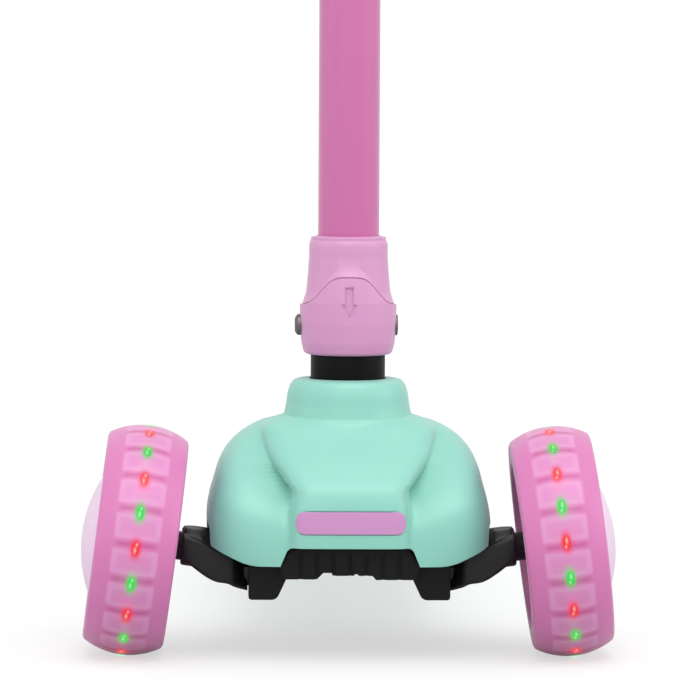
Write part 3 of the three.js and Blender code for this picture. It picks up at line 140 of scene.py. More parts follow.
def spunSolid(name, outline, sides=48, corners=4):
    # The outline starts and ends on the axis
    return spunPiece(name, outline, sides, False, corners)


def tubePiece(name, inner, outer, low, high, sides=96, edges=(0, 0, 0, 0)):
    # A turned ring and the fillets of its four corners, from the inner one at the foot
    places = ((inner, low), (outer, low), (outer, high), (inner, high))
    return spunPiece(name, [(*place, edge) if edge else place for place, edge in zip(places, edges)], sides)


def rodAlong(axis, name, radius, start, end, sides=48, edge=0):
    fillet = (edge,) if edge else ()
    outline = [(0, start), (radius, start, *fillet), (radius, end, *fillet), (0, end)]
    turns = {"x": alongX, "y": turned(-90, "X"), "z": Matrix.Identity(4)}
    return settle(spunSolid(name, outline, sides), turns[axis])


def raisedPiece(name, outline, bottom, top, edge=0, corners=4, edgeSteps=2):
    # An outline in X and Y raised along Z, with its two rims rounded
    flat = roundCorners(outline, corners)
    piece = drawLine(name, [(x, y, bottom) for x, y in flat + flat[:1]])
    bpy.ops.mesh.remove_doubles(threshold=mm / 100)
    bpy.ops.mesh.select_all(action="SELECT")
    bpy.ops.mesh.edge_face_add()
    bpy.ops.mesh.extrude_region_move(TRANSFORM_OT_translate={"value": (0, 0, (top - bottom) * mm)})
    bpy.ops.mesh.select_all(action="SELECT")
    bpy.ops.mesh.normals_make_consistent(inside=False)
    if edge:
        pickFaces(piece, lambda face: abs(face.normal.z) > 0.9)
        bpy.ops.mesh.region_to_loop()
        bpy.ops.mesh.bevel(offset=edge * mm, segments=edgeSteps, affect="EDGES", clamp_overlap=True)
    bpy.ops.object.mode_set(mode="OBJECT")
    return piece


def pickFaces(piece, wanted):
    bpy.ops.mesh.select_mode(type="FACE")
    bpy.ops.mesh.select_all(action="DESELECT")
    cage = bmesh.from_edit_mesh(piece.data)
    for face in cage.faces:
        face.select = wanted(face)
    bmesh.update_edit_mesh(piece.data)


def roundedBlock(name, low, high, edge=0.6, edgeSteps=2):
    deselectAll()
    centre = (Vector(low) + Vector(high)) / 2 * mm
    size = (Vector(high) - Vector(low)) * mm
    bpy.ops.mesh.primitive_cube_add(size=1, location=centre, scale=size)
    piece = bpy.context.active_object
    piece.name = piece.data.name = name
    bpy.ops.object.transform_apply(location=True, rotation=True, scale=True)
    if edge:
        editMesh(piece)
        bpy.ops.mesh.bevel(offset=edge * mm, segments=edgeSteps, affect="EDGES")
        bpy.ops.object.mode_set(mode="OBJECT")
    return piece


def loftedPiece(name, rings):
    # A skin over rings of equal length, closed at both ends
    deselectAll()
    count = len(rings[0])
    mesh = bpy.data.meshes.new(name)
    faces = []
    for low in range(0, (len(rings) - 1) * count, count):
        high = low + count
        faces += [(low + i, low + (i + 1) % count, high + (i + 1) % count, high + i) for i in range(count)]
    last = (len(rings) - 1) * count
    faces += [tuple(reversed(range(count))), tuple(range(last, last + count))]
    mesh.from_pydata([Vector(p) * mm for ring in rings for p in ring], [], faces)
    piece = bpy.data.objects.new(name, mesh)
    bpy.context.scene.collection.objects.link(piece)
    editMesh(piece)
    bpy.ops.mesh.normals_make_consistent(inside=False)
    bpy.ops.object.mode_set(mode="OBJECT")
    return piece


def wirePiece(name, points, radius, sides=8):
    # A round wire along a line of points
    curve = bpy.data.curves.new(name, "CURVE")
    curve.dimensions = "3D"
    curve.bevel_depth = radius * mm
    curve.bevel_resolution = max(0, sides // 4 - 1)
    curve.use_fill_caps = True
    line = curve.splines.new("POLY")
    line.points.add(len(points) - 1)
    for knot, place in zip(line.points, points):
        knot.co = (*(Vector(place) * mm), 1)
    piece = bpy.data.objects.new(name, curve)
    bpy.context.scene.collection.objects.link(piece)
    pick(piece)
    bpy.ops.object.convert(target="MESH")
    piece = bpy.context.active_object
    editMesh(piece)
    bpy.ops.mesh.remove_doubles(threshold=mm / 100)
    bpy.ops.mesh.normals_make_consistent(inside=False)
    bpy.ops.object.mode_set(mode="OBJECT")
    return piece


def useModifier(piece, kind, **settings):
    modifier = piece.modifiers.new(kind.lower(), kind)
    for key, value in settings.items():
        setattr(modifier, key, value)
    pick(piece)
    bpy.ops.object.modifier_apply(modifier=modifier.name)
    return piece


def combine(piece, *others, how="UNION", solver="MANIFOLD"):
    # The quick solver refuses an open form, and then the exact one is asked
    for other in others:
        useModifier(piece, "BOOLEAN", object=other, operation=how, solver=solver)
        if piece.modifiers:
            print("exact solver for", piece.name, how, other.name)
            piece.modifiers.clear()
            useModifier(piece, "BOOLEAN", object=other, operation=how, solver="EXACT")
        bpy.data.objects.remove(other)
    return piece


def carve(piece, *tools, solver="MANIFOLD"):
    return combine(piece, *tools, how="DIFFERENCE", solver=solver)


def softenEdges(piece, width, angle=40, segments=2):
    return useModifier(
        piece, "BEVEL", width=width * mm, segments=segments, limit_method="ANGLE",
        angle_limit=math.radians(angle), use_clamp_overlap=True, harden_normals=False, loop_slide=False,
    )


def joinPieces(first, *others):
    pick(first)
    for other in others:
        other.select_set(True)
    bpy.ops.object.join()
    return first


def copyPiece(piece, name, place=Matrix.Identity(4)):
    other = piece.copy()
    other.data = piece.data.copy()
    other.name = other.data.name = name
    bpy.context.scene.collection.objects.link(other)
    return settle(other, place)


def mirrorPiece(piece, name):
    other = copyPiece(piece, name)
    other.data.transform(Matrix.Scale(-1, 4, (1, 0, 0)))
    other.data.flip_normals()
    return other


def ringOf(piece, count, axis="Z", start=0):
    # Copies of one form turned about an axis and joined to it
    settle(piece, turned(start, axis))
    others = [copyPiece(piece, piece.name, turned(360 * i / count, axis)) for i in range(1, count)]
    return joinPieces(piece, *others)


def dress(piece, finish, body, slotName, *nodes, angle=32):
    piece.data.materials.clear()
    piece.data.materials.append(finishes[finish])
    pick(piece)
    bpy.ops.object.shade_smooth_by_angle(angle=math.radians(angle))
    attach(piece, body)
    if nodes:
        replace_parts(piece, *nodes)
    return piece


def middleOf(node):
    low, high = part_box(node)
    return (low + high) / 2


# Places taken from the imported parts
frontY = middleOf("magnet_core_left").y
axleZ = middleOf("magnet_core_left").z
trackX = middleOf("magnet_core_left").x
rearPlace = middleOf("rear_spacer")
pivotPlace = middleOf("pivot_nut")
camber, kingpinLean, stemLean, wheelTurn = 7.2, 20, 2, 5
kingpin = {"x": 44, "z": 44}
neckRise = 169
boltHole, boltHead = 4.3, 11.2
inFront = Matrix.Translation((0, frontY, 0))
onStem = Matrix.Translation((0, pivotPlace.y, pivotPlace.z)) @ turned(-stemLean, "X")
onRear = Matrix.Translation(rearPlace)
onWheel = {}
for side, tilt in (("left", -camber), ("right", 180 + camber)):
    hub = Matrix.Translation((sideSigns[side] * trackX, frontY, axleZ))
    onWheel[side] = hub @ turned(tilt, "Y") @ turned(-sideSigns[side] * wheelTurn, "X")
onKingpin = inFront @ moved(kingpin["x"], 0, kingpin["z"]) @ turned(kingpinLean, "X")
onTie = inFront @ moved(0, 0, kingpin["z"]) @ turned(kingpinLean, "X")
alongX = turned(90, "Y")
alongY = turned(90, "X")


# Finishes

def shade(red, green, blue):
    # A screen colour as the renderer's own
    values = [v / 255 for v in (red, green, blue)]
    return (*[v / 12.92 if v <= 0.04045 else ((v + 0.055) / 1.055) ** 2.4 for v in values], 1)


def newGroup(name, inputs, outputs):
    group = bpy.data.node_groups.new(name, "ShaderNodeTree")
    for label, kind, value in inputs:
        socket = group.interface.new_socket(label, in_out="INPUT", socket_type=kind)
        if value is not None:
            socket.default_value = value
    for label, kind in outputs:
        group.interface.new_socket(label, in_out="OUTPUT", socket_type=kind)
    return group, group.nodes.new("NodeGroupInput"), group.nodes.new("NodeGroupOutput")


def addNode(tree, kind, **settings):
    node = tree.nodes.new(kind)
    for key, value in settings.items():
        setattr(node, key, value)
    return node


def mathNode(tree, operation, first, second=None, third=None):
    node = addNode(tree, "ShaderNodeMath", operation=operation)
    for socket, value in zip(node.inputs, (first, second, third)):
        if value is None:
            continue
        if isinstance(value, (int, float)):
            socket.default_value = value
        else:
            tree.links.new(value, socket)
    return node.outputs[0]


def grainGroup():
    # Fine spark-eroded mould grain over soft unevenness
    group, start, end = newGroup(
        "mouldGrain",
        [
            ("Vector", "NodeSocketVector", None), ("Size", "NodeSocketFloat", 900),
            ("Waviness", "NodeSocketFloat", 0.4),
        ],
        [("Height", "NodeSocketFloat"), ("Patches", "NodeSocketFloat")],
    )
    fine = addNode(group, "ShaderNodeTexNoise")
    fine.inputs["Detail"].default_value = 3
    broad = addNode(group, "ShaderNodeTexNoise")
    broad.inputs["Scale"].default_value = 28
    broad.inputs["Detail"].default_value = 2
    group.links.new(start.outputs["Vector"], fine.inputs["Vector"])
    group.links.new(start.outputs["Size"], fine.inputs["Scale"])
    group.links.new(start.outputs["Vector"], broad.inputs["Vector"])
    waves = mathNode(group, "MULTIPLY", broad.outputs["Fac"], start.outputs["Waviness"])
    group.links.new(mathNode(group, "ADD", fine.outputs["Fac"], waves), end.inputs["Height"])
    group.links.new(broad.outputs["Fac"], end.inputs["Patches"])
    return group


def driftGroup():
    # A colour that wanders a little in patches, and is painted paler on upward faces: dust, and painted light
    # from above
    group, start, end = newGroup(
        "colourDrift",
        [
            ("Vector", "NodeSocketVector", None), ("Colour", "NodeSocketColor", (0.5, 0.5, 0.5, 1)),
            ("Drift", "NodeSocketFloat", 0.05), ("Dust", "NodeSocketFloat", 0.03),
        ],
        [("Colour", "NodeSocketColor")],
    )
    patches = addNode(group, "ShaderNodeTexNoise")
    patches.inputs["Scale"].default_value = 17
    patches.inputs["Detail"].default_value = 4
    group.links.new(start.outputs["Vector"], patches.inputs["Vector"])
    centred = mathNode(group, "SUBTRACT", patches.outputs["Fac"], 0.5)
    value = mathNode(group, "MULTIPLY_ADD", centred, start.outputs["Drift"], 1)
    tinted = addNode(group, "ShaderNodeHueSaturation")
    group.links.new(start.outputs["Colour"], tinted.inputs["Color"])
    group.links.new(value, tinted.inputs["Value"])
    geometry = addNode(group, "ShaderNodeNewGeometry")
    upward = addNode(group, "ShaderNodeSeparateXYZ")
    group.links.new(geometry.outputs["Normal"], upward.inputs[0])
    # Painted top light and dust: upward faces are mixed towards a pale grey
    upwardDustAndLight = mathNode(
        group, "MULTIPLY", mathNode(group, "MAXIMUM", upward.outputs["Z"], 0), patches.outputs["Fac"],
    )
    dustAndTopLightMix = addNode(group, "ShaderNodeMix", data_type="RGBA")
    dustAndTopLightMix.inputs["B"].default_value = (0.62, 0.6, 0.57, 1)
    group.links.new(mathNode(group, "MULTIPLY", upwardDustAndLight, start.outputs["Dust"]), dustAndTopLightMix.inputs["Factor"])
    group.links.new(tinted.outputs["Color"], dustAndTopLightMix.inputs["A"])
    group.links.new(dustAndTopLightMix.outputs["Result"], end.inputs["Colour"])
    return group


def wearGroup():
    # Roughness with rubbed patches and fine hairline scuffs
    group, start, end = newGroup(
        "handlingWear",
        [
            ("Vector", "NodeSocketVector", None), ("Roughness", "NodeSocketFloat", 0.4),
            ("Wear", "NodeSocketFloat", 0.1), ("Scuffs", "NodeSocketFloat", 0.05),
        ],
        [("Roughness", "NodeSocketFloat"), ("Height", "NodeSocketFloat")],
    )
    rubbed = addNode(group, "ShaderNodeTexNoise")
    rubbed.inputs["Scale"].default_value = 45
    rubbed.inputs["Detail"].default_value = 5
    stretch = addNode(group, "ShaderNodeMapping")
    stretch.inputs["Scale"].default_value = (90, 90, 1400)
    stretch.inputs["Rotation"].default_value = (0.7, 0.4, 0.9)
    lines = addNode(group, "ShaderNodeTexNoise")
    lines.inputs["Scale"].default_value = 1
    lines.inputs["Detail"].default_value = 2
    group.links.new(start.outputs["Vector"], rubbed.inputs["Vector"])
    group.links.new(start.outputs["Vector"], stretch.inputs["Vector"])
    group.links.new(stretch.outputs["Vector"], lines.inputs["Vector"])
    hairs = mathNode(group, "GREATER_THAN", lines.outputs["Fac"], 0.68)
    scuffs = mathNode(group, "MULTIPLY", hairs, start.outputs["Scuffs"])
    centred = mathNode(group, "SUBTRACT", rubbed.outputs["Fac"], 0.5)
    worn = mathNode(group, "MULTIPLY_ADD", centred, start.outputs["Wear"], start.outputs["Roughness"])
    group.links.new(mathNode(group, "ADD", worn, scuffs), end.inputs["Roughness"])
    group.links.new(mathNode(group, "MULTIPLY", scuffs, -1), end.inputs["Height"])
    return group


grainNodes, driftNodes, wearNodes = grainGroup(), driftGroup(), wearGroup()


def placeGroup(tree, group, vector, **values):
    node = addNode(tree, "ShaderNodeGroup", node_tree=group)
    tree.links.new(vector, node.inputs["Vector"])
    for label, value in values.items():
        if hasattr(value, "is_output"):
            tree.links.new(value, node.inputs[label])
        else:
            node.inputs[label].default_value = value
    return node


def newFinish(name, colour, roughness, look, extras=()):
    # A look gives grain size and depth, colour drift, dust with painted top light, wear and scuffs
    # Extras are constants of the shader's own sockets
    material = bpy.data.materials.new(name)
    material.use_nodes = True
    tree = material.node_tree
    shader = tree.nodes["Principled BSDF"]
    place = addNode(tree, "ShaderNodeTexCoord").outputs["Object"]
    grain = placeGroup(tree, grainNodes, place, Size=look["size"], Waviness=look.get("waviness", 0.3))
    drift = placeGroup(tree, driftNodes, place, Colour=shade(*colour), Drift=look["drift"], Dust=look["dustAndTopLight"])
    wear = placeGroup(tree, wearNodes, place, Roughness=roughness, Wear=look["wear"], Scuffs=look["scuffs"])
    bump = addNode(tree, "ShaderNodeBump")
    bump.inputs["Strength"].default_value = look["depth"]
    bump.inputs["Distance"].default_value = 0.0004
    tree.links.new(
        mathNode(tree, "ADD", grain.outputs["Height"], wear.outputs["Height"]), bump.inputs["Height"],
    )
    tree.links.new(drift.outputs["Colour"], shader.inputs["Base Color"])
    tree.links.new(wear.outputs["Roughness"], shader.inputs["Roughness"])
    tree.links.new(bump.outputs["Normal"], shader.inputs["Normal"])
    for label, value in extras:
        shader.inputs[label].default_value = value
    return material


# The dust amount also paints upward faces paler, as light from above
satinGrain = {"size": 1500, "depth": 0.1, "drift": 0.05, "dustAndTopLight": 0.05, "wear": 0.1, "scuffs": 0.04}
coarseGrain = {"size": 1000, "depth": 0.35, "drift": 0.12, "dustAndTopLight": 0.05, "wear": 0.14, "scuffs": 0.06}
smoothGrain = {
    "size": 500, "depth": 0.03, "drift": 0.05, "dustAndTopLight": 0.04, "wear": 0.08, "scuffs": 0.04,
    "waviness": 0.6,
}
rubberGrain = {"size": 1300, "depth": 0.3, "drift": 0.15, "dustAndTopLight": 0.12, "wear": 0.12, "scuffs": 0.03}
metalGrain = {"size": 2600, "depth": 0.12, "drift": 0.1, "dustAndTopLight": 0.02, "wear": 0.2, "scuffs": 0.1}

finishes = {
    "mintShell": newFinish(
        "mintShell", (131, 200, 183), 0.46, satinGrain,
        [("Specular IOR Level", 0.9), ("Sheen Weight", 0.28), ("Sheen Roughness", 0.4)],
    ),
    "mintDeck": newFinish("mintDeck", (131, 212, 190), 0.5, coarseGrain),
    "mintGrip": newFinish("mintGrip", (130, 212, 190), 0.7, rubberGrain),
    "blackNylon": newFinish("blackNylon", (26, 25, 27), 0.5, coarseGrain, [("Specular IOR Level", 0.16)]),
    "blackArm": newFinish("blackArm", (19, 16, 19), 0.36, coarseGrain, [("Specular IOR Level", 0.42)]),
    "blackPaint": newFinish("blackPaint", (11, 10, 12), 0.4, smoothGrain, [("Specular IOR Level", 0.1)]),
    "pinkHinge": newFinish(
        "pinkHinge", (207, 143, 189), 0.46, satinGrain,
        [("Specular IOR Level", 0.9), ("Sheen Weight", 0.3), ("Sheen Roughness", 0.4)],
    ),
    "pinkPaint": newFinish(
        "pinkPaint", (201, 106, 165), 0.34, smoothGrain,
        [("Coat Weight", 0.4), ("Coat Roughness", 0.3), ("Sheen Weight", 0.5), ("Sheen Roughness", 0.3)],
    ),
    "barePlate": newFinish("barePlate", (198, 141, 191), 0.4, satinGrain),
    "lilacHub": newFinish("lilacHub", (232, 178, 220), 0.4, satinGrain),
    "frostCap": newFinish("frostCap", (236, 208, 233), 0.3, smoothGrain),
    "lampBoard": newFinish("lampBoard", (226, 226, 218), 0.5, smoothGrain),
    "matRubber": newFinish("matRubber", (30, 30, 32), 0.8, rubberGrain, [("Specular IOR Level", 0.25)]),
    "zincSteel": newFinish("zincSteel", (196, 198, 202), 0.3, metalGrain, [("Metallic", 1.0)]),
    "boltSteel": newFinish("boltSteel", (122, 112, 120), 0.36, metalGrain, [("Metallic", 1.0)]),
    "groundSteel": newFinish("groundSteel", (186, 188, 192), 0.2, metalGrain, [("Metallic", 1.0)]),
    "springSteel": newFinish("springSteel", (150, 152, 156), 0.35, metalGrain, [("Metallic", 1.0)]),
    "brightTube": newFinish("brightTube", (214, 214, 218), 0.14, metalGrain, [("Metallic", 1.0)]),
    "bearingSeal": newFinish("bearingSeal", (40, 40, 44), 0.6, rubberGrain),
}


def lampGroup():
    # The wheel seen through its tyre: lighter blocks, painted shade in the gaps between them, and glows of two
    # colours
    group, start, end = newGroup(
        "wheelLights", [("Vector", "NodeSocketVector", None)],
        [
            ("Blocks", "NodeSocketFloat"), ("GapShade", "NodeSocketFloat"), ("Frames", "NodeSocketFloat"),
            ("Lit", "NodeSocketFloat"), ("Glow", "NodeSocketColor"),
        ],
    )
    s = lampSizes
    split = addNode(group, "ShaderNodeSeparateXYZ")
    group.links.new(start.outputs["Vector"], split.inputs[0])
    across = mathNode(group, "MULTIPLY", split.outputs["X"], 1000)
    ahead = mathNode(group, "MULTIPLY", split.outputs["Y"], -1)
    turn = mathNode(
        group, "MULTIPLY", mathNode(group, "ARCTAN2", split.outputs["Z"], ahead),
        s["count"] / math.tau,
    )
    index = mathNode(group, "ROUND", turn)
    pitch = math.tau * s["radius"] / s["count"]
    away = mathNode(group, "MULTIPLY", mathNode(group, "SUBTRACT", turn, index), pitch)

    def ramp(value, low, high):
        node = addNode(group, "ShaderNodeMapRange", interpolation_type="SMOOTHSTEP")
        group.links.new(value, node.inputs["Value"])
        node.inputs["From Min"].default_value = low
        node.inputs["From Max"].default_value = high
        return node.outputs["Result"]

    def fallOff(value, centre, size):
        share = mathNode(group, "DIVIDE", mathNode(group, "SUBTRACT", value, centre), size)
        return mathNode(group, "POWER", mathNode(group, "ABSOLUTE", share), 2)

    def spot(long, wide, rise=0, aside=0):
        both = mathNode(group, "ADD", fallOff(away, rise, long), fallOff(across, aside, wide))
        return mathNode(group, "EXPONENT", mathNode(group, "MULTIPLY", both, -1))

    level, sideways = mathNode(group, "ABSOLUTE", away), mathNode(group, "ABSOLUTE", across)
    inside = mathNode(
        group, "MULTIPLY", ramp(level, 1.8, 3.8),
        ramp(sideways, s["blockHalf"] + 0.8, s["blockHalf"] - 1.2),
    )
    middle = mathNode(
        group, "MULTIPLY", ramp(level, 4, 7),
        ramp(sideways, s["blockHalf"] - 1.4, s["blockHalf"] - 4.4),
    )
    group.links.new(inside, end.inputs["Blocks"])
    group.links.new(mathNode(group, "SUBTRACT", inside, middle), end.inputs["Frames"])
    # Painted shade in the gaps between the blocks
    ends = ramp(sideways, s["blockHalf"] + 0.4, s["blockHalf"] - 3.5)
    group.links.new(mathNode(group, "MULTIPLY", ramp(level, 2.1, 0.2), ends), end.inputs["GapShade"])
    parity = mathNode(group, "FLOORED_MODULO", index, 2)
    tint = addNode(group, "ShaderNodeMix", data_type="RGBA")
    tint.inputs["A"].default_value = (0.95, 0.015, 0.04, 1)
    tint.inputs["B"].default_value = (0.02, 0.7, 0.07, 1)
    group.links.new(parity, tint.inputs["Factor"])
    heart = addNode(group, "ShaderNodeMix", data_type="RGBA")
    heart.inputs["B"].default_value = (0.85, 1, 0.88, 1)
    sparks = mathNode(
        group, "ADD", spot(1.5, 0.6, s["rise"] + 0.9, 0.3), spot(0.8, 0.5, s["rise"] - 2.2, -0.4),
    )
    group.links.new(mathNode(group, "MULTIPLY", sparks, 0.5), heart.inputs["Factor"])
    group.links.new(tint.outputs["Result"], heart.inputs["A"])
    halo = mathNode(group, "MULTIPLY", spot(s["long"] * 1.3, s["wide"] * 2.2, s["rise"]), 0.2)
    core = mathNode(
        group, "MINIMUM", mathNode(group, "MULTIPLY", spot(s["long"], s["wide"], s["rise"]), 1.7), 1,
    )
    lit = mathNode(group, "MAXIMUM", core, halo)
    group.links.new(lit, end.inputs["Lit"])
    glow = addNode(group, "ShaderNodeMix", data_type="RGBA")
    glow.inputs["A"].default_value = (0, 0, 0, 1)
    group.links.new(lit, glow.inputs["Factor"])
    group.links.new(heart.outputs["Result"], glow.inputs["B"])
    group.links.new(glow.outputs["Result"], end.inputs["Glow"])
    return group


# Seen through the tyre the hub's blocks look closer together, so the pattern has more of them than the hub
lampSizes = {"count": 20, "radius": 60, "long": 4.4, "wide": 2.4, "rise": 2, "blockHalf": 12}
lampNodes = lampGroup()


def newTyreFinish(name, side):
    # A translucent tyre whose pattern turns with the wheel
    material = newFinish(
        name, (216, 124, 183), 0.36, smoothGrain,
        [("Alpha", 0.9), ("Emission Strength", 1.0), ("Sheen Weight", 0.25), ("Sheen Roughness", 0.4)],
    )
    tree = material.node_tree
    shader = tree.nodes["Principled BSDF"]
    coordinates = next(node for node in tree.nodes if node.type == "TEX_COORD")
    hub = addNode(tree, "ShaderNodeMapping", vector_type="TEXTURE")
    hub.inputs["Location"].default_value = onWheel[side].to_translation()
    hub.inputs["Rotation"].default_value = onWheel[side].to_euler()
    tree.links.new(coordinates.outputs["Object"], hub.inputs["Vector"])
    pattern = placeGroup(tree, lampNodes, hub.outputs["Vector"])
    base = shader.inputs["Base Color"].links[0].from_socket
    # The gap layer is painted shade between the blocks
    layers = (
        ("Blocks", (222, 144, 198), 0.8), ("Frames", (234, 176, 218), 0.3), ("GapShade", (188, 76, 142), 0.55),
        ("Lit", (8, 8, 8), 1),
    )
    for mask, colour, share in layers:
        layer = addNode(tree, "ShaderNodeMix", data_type="RGBA")
        layer.inputs["B"].default_value = shade(*colour)
        tree.links.new(mathNode(tree, "MULTIPLY", pattern.outputs[mask], share), layer.inputs["Factor"])
        tree.links.new(base, layer.inputs["A"])
        base = layer.outputs["Result"]
    tree.links.new(base, shader.inputs["Base Color"])
    tree.links.new(pattern.outputs["Glow"], shader.inputs["Emission Color"])
    return material


finishes["tyre_left"] = newTyreFinish("tyreLeft", "left")
finishes["tyre_right"] = newTyreFinish("tyreRight", "right")
finishes["rearTyre"] = newFinish("rearTyre", (219, 130, 188), 0.34, smoothGrain, [("Alpha", 0.88)])
lampColours = {
    "lampRed": (1, 0.05, 0.05, 1), "lampGreen": (0.1, 0.9, 0.2, 1), "lampWhite": (0.9, 0.9, 0.8, 1),
}
for lampName, lampColour in lampColours.items():
    finishes[lampName] = newFinish(
        lampName, (240, 240, 236), 0.3, smoothGrain,
        [("Emission Color", lampColour), ("Emission Strength", 0.8)],
    )
print("finishes made:", len(finishes))


# Front shell: two lobes and a waisted hood that run together, with the neck round the column

shellSizes = {
    "halfWidth": 73.7, "front": -36, "back": 81, "bottom": 50.7, "shoulder": 121,
    "hoodHalfWidth": 45.6, "hoodFront": -42.5, "hoodBack": 42,
    "wall": 2.6, "sides": 224, "middle": 8, "blend": 4.2, "columnHole": 20.3, "neckCentre": 36,
    "ridgeTilt": 0.45, "ridgeFrom": 54, "levels": ((47, 1.9, 34), (111, 0.5, 28), (125, 1.1, 13)),
    "lastLevels": [139.9, 140.4, 140.8],
}
halvings = 22
# Share of the height, then half width, front and back as shares of the shell's own, and how square it is
lobeLevels = [
    (-0.04, 0.975, 0.965, 0.975, 6), (0.1, 0.993, 1, 1, 6), (0.28, 1, 1, 1, 5.6),
    (0.42, 0.982, 0.95, 0.99, 5),
    (0.54, 0.952, 0.8, 0.96, 4.2), (0.66, 0.92, 0.56, 0.91, 3.6), (0.77, 0.867, 0.28, 0.84, 3.3),
    (0.86, 0.789, 0.03, 0.77, 3.1), (0.92, 0.705, -0.17, 0.71, 3), (0.965, 0.597, -0.38, 0.66, 3),
    (0.99, 0.5, -0.55, 0.61, 3), (1.01, 0.38, -0.68, 0.56, 3), (1.03, 0.25, -0.8, 0.53, 3),
]
# The hood flares to a cape under the neck
hoodLevels = [
    (-0.04, 0.735, 1, 8), (0.14, 0.715, 1, 8), (0.4, 0.69, 0.99, 7.5), (0.54, 0.665, 0.94, 6.5),
    (0.61, 0.75, 0.86, 5),
    (0.744, 0.9, 0.58, 4), (0.886, 0.985, 0.22, 3.3), (0.957, 0.985, 0.06, 3), (0.99, 0.9, -0.02, 2.7),
    (1.02, 0.82, -0.1, 2.4),
]
neckLevels = [
    (100, 33.6), (121, 33.6), (124.5, 33), (128, 32.3), (133, 31.6), (136.5, 30.6), (139, 29.4),
    (140.4, 27.6), (141, 25.4),
]


def along(levels, height):
    # Smooth values between the levels of a table
    if height <= levels[0][0]:
        return levels[0][1:]
    if height >= levels[-1][0]:
        return levels[-1][1:]
    i = max(k for k in range(len(levels) - 1) if levels[k][0] <= height)
    here, there = levels[i], levels[i + 1]
    before, after = levels[max(i - 1, 0)], levels[min(i + 2, len(levels) - 1)]
    t = (height - here[0]) / (there[0] - here[0])
    values = []
    for k in range(1, len(here)):
        step = there[0] - here[0]
        slopeIn = (there[k] - before[k]) / (there[0] - before[0]) * step
        slopeOut = (after[k] - here[k]) / (after[0] - here[0]) * step
        values.append(
            (2 * t ** 3 - 3 * t ** 2 + 1) * here[k] + (t ** 3 - 2 * t ** 2 + t) * slopeIn
            + (3 * t ** 2 - 2 * t ** 3) * there[k] + (t ** 3 - t ** 2) * slopeOut
        )
    return values


def ovalDepth(x, y, halfWidth, front, back, power):
    # Below zero inside a rounded square, in about millimetres
    middle, reach = (front + back) / 2, (back - front) / 2
    size = (abs(x / halfWidth) ** power + abs((y - middle) / reach) ** power) ** (1 / power)
    return (size - 1) * min(halfWidth, reach)


def blendDepths(depths, amount):
    least = min(depths)
    return least - amount * math.log(sum(math.exp((least - d) / amount) for d in depths))


def shellDepth(x, y, z, grow=0):
    s = shellSizes
    share = (z - s["bottom"]) / (s["shoulder"] - s["bottom"])
    depths = []
    if share <= lobeLevels[-1][0]:
        width, reach, back, square = along(lobeLevels, share)
        # The face of each lobe breaks along a ridge that falls towards the waist
        fallen = share - s["ridgeTilt"] * (abs(x) - s["ridgeFrom"]) / (s["shoulder"] - s["bottom"])
        reach = max(along(lobeLevels, fallen)[1], lobeLevels[-1][2])
        lobe = (width * s["halfWidth"], reach * s["front"], back * s["back"], square)
        depths.append(ovalDepth(x, y, *lobe))
    if share <= hoodLevels[-1][0]:
        width, reach, power = along(hoodLevels, share)
        hood = (width * s["hoodHalfWidth"], reach * s["hoodFront"], s["hoodBack"], power)
        depths.append(ovalDepth(x, y, *hood))
    if z > neckLevels[0][0]:
        lean = math.tan(math.radians(stemLean)) * (z - pivotPlace.z / mm)
        centre = s["neckCentre"] + lean
        depths.append(math.hypot(x, y - centre) - along(neckLevels, z)[0])
    return blendDepths(depths, s["blend"] * 0.35) - grow


def shellReach(angle, z, grow=0):
    # How far out the shell stands from its middle line at one height
    s = shellSizes
    lean = s["neckCentre"] + math.tan(math.radians(stemLean)) * (z - pivotPlace.z / mm)
    middle = s["middle"] + (lean - s["middle"]) * min(1, max(0, (z - 100) / 22))
    low, high = 5, 110
    for _ in range(halvings):
        reach = (low + high) / 2
        x, y = reach * math.cos(angle), middle + reach * math.sin(angle)
        if shellDepth(x, y, z, grow) < 0:
            low = reach
        else:
            high = reach
    return Vector((low * math.cos(angle), middle + low * math.sin(angle), z))


def shellSkin(name, grow=0):
    s = shellSizes
    heights = [start + step * i for start, step, count in s["levels"] for i in range(count)]
    heights += s["lastLevels"]
    rings = []
    for z in heights:
        rings.append([shellReach(math.tau * (i + 0.5) / s["sides"], z, grow) for i in range(s["sides"])])
    top = rings[-1]
    middle = sum(top, Vector()) / len(top)
    for share in (0.93, 0.8, 0.6):
        rings.append([middle + (p - middle) * share + Vector((0, 0, 0.2)) for p in top])
    tilt = math.tan(math.radians(stemLean))
    for ring in rings[-22:]:
        for p in ring:
            p.z -= tilt * (p.y - s["neckCentre"]) * min(1, max(0, (p.z - 124) / 6))
    return loftedPiece(name, rings)


def badgeOutline(grow, corner):
    b = badgeSizes
    x, z = b["halfLength"] + grow, b["halfHeight"] + grow
    low, high = b["height"] - z, b["height"] + z
    return [(-x, low, corner), (x, low, corner), (x, high, corner), (-x, high, corner)]


badgeSizes = {
    "halfLength": 28.4, "halfHeight": 5.75, "height": 74.2, "corner": 4.6, "proud": 0.5, "seam": 0.45,
    "seatDepth": 5.7, "seatRise": 4.2, "thickness": 3.4,
}


# Outlines in X and Z of what is cut from the shell's front, and in Y and Z of its wheel arches
shellOpenings = {
    "mouth": [(-36, 20), (36, 20), (36, 50.7, 3), (31.8, 60.9, 4.2), (-31.8, 60.9, 4.2), (-36, 50.7, 3)],
    "underLobe": [(30, 50.69), (52, 50.7, 30), (120, 80.3), (120, 0), (30, 0)],
    "wheelArch": [(-17.4, 0), (17.4, 0), (17.4, 70, 5), (-17.4, 70, 5)],
    "deckRoom": [(-59.4, 61.7, 20), (59.4, 130, 68)],
}


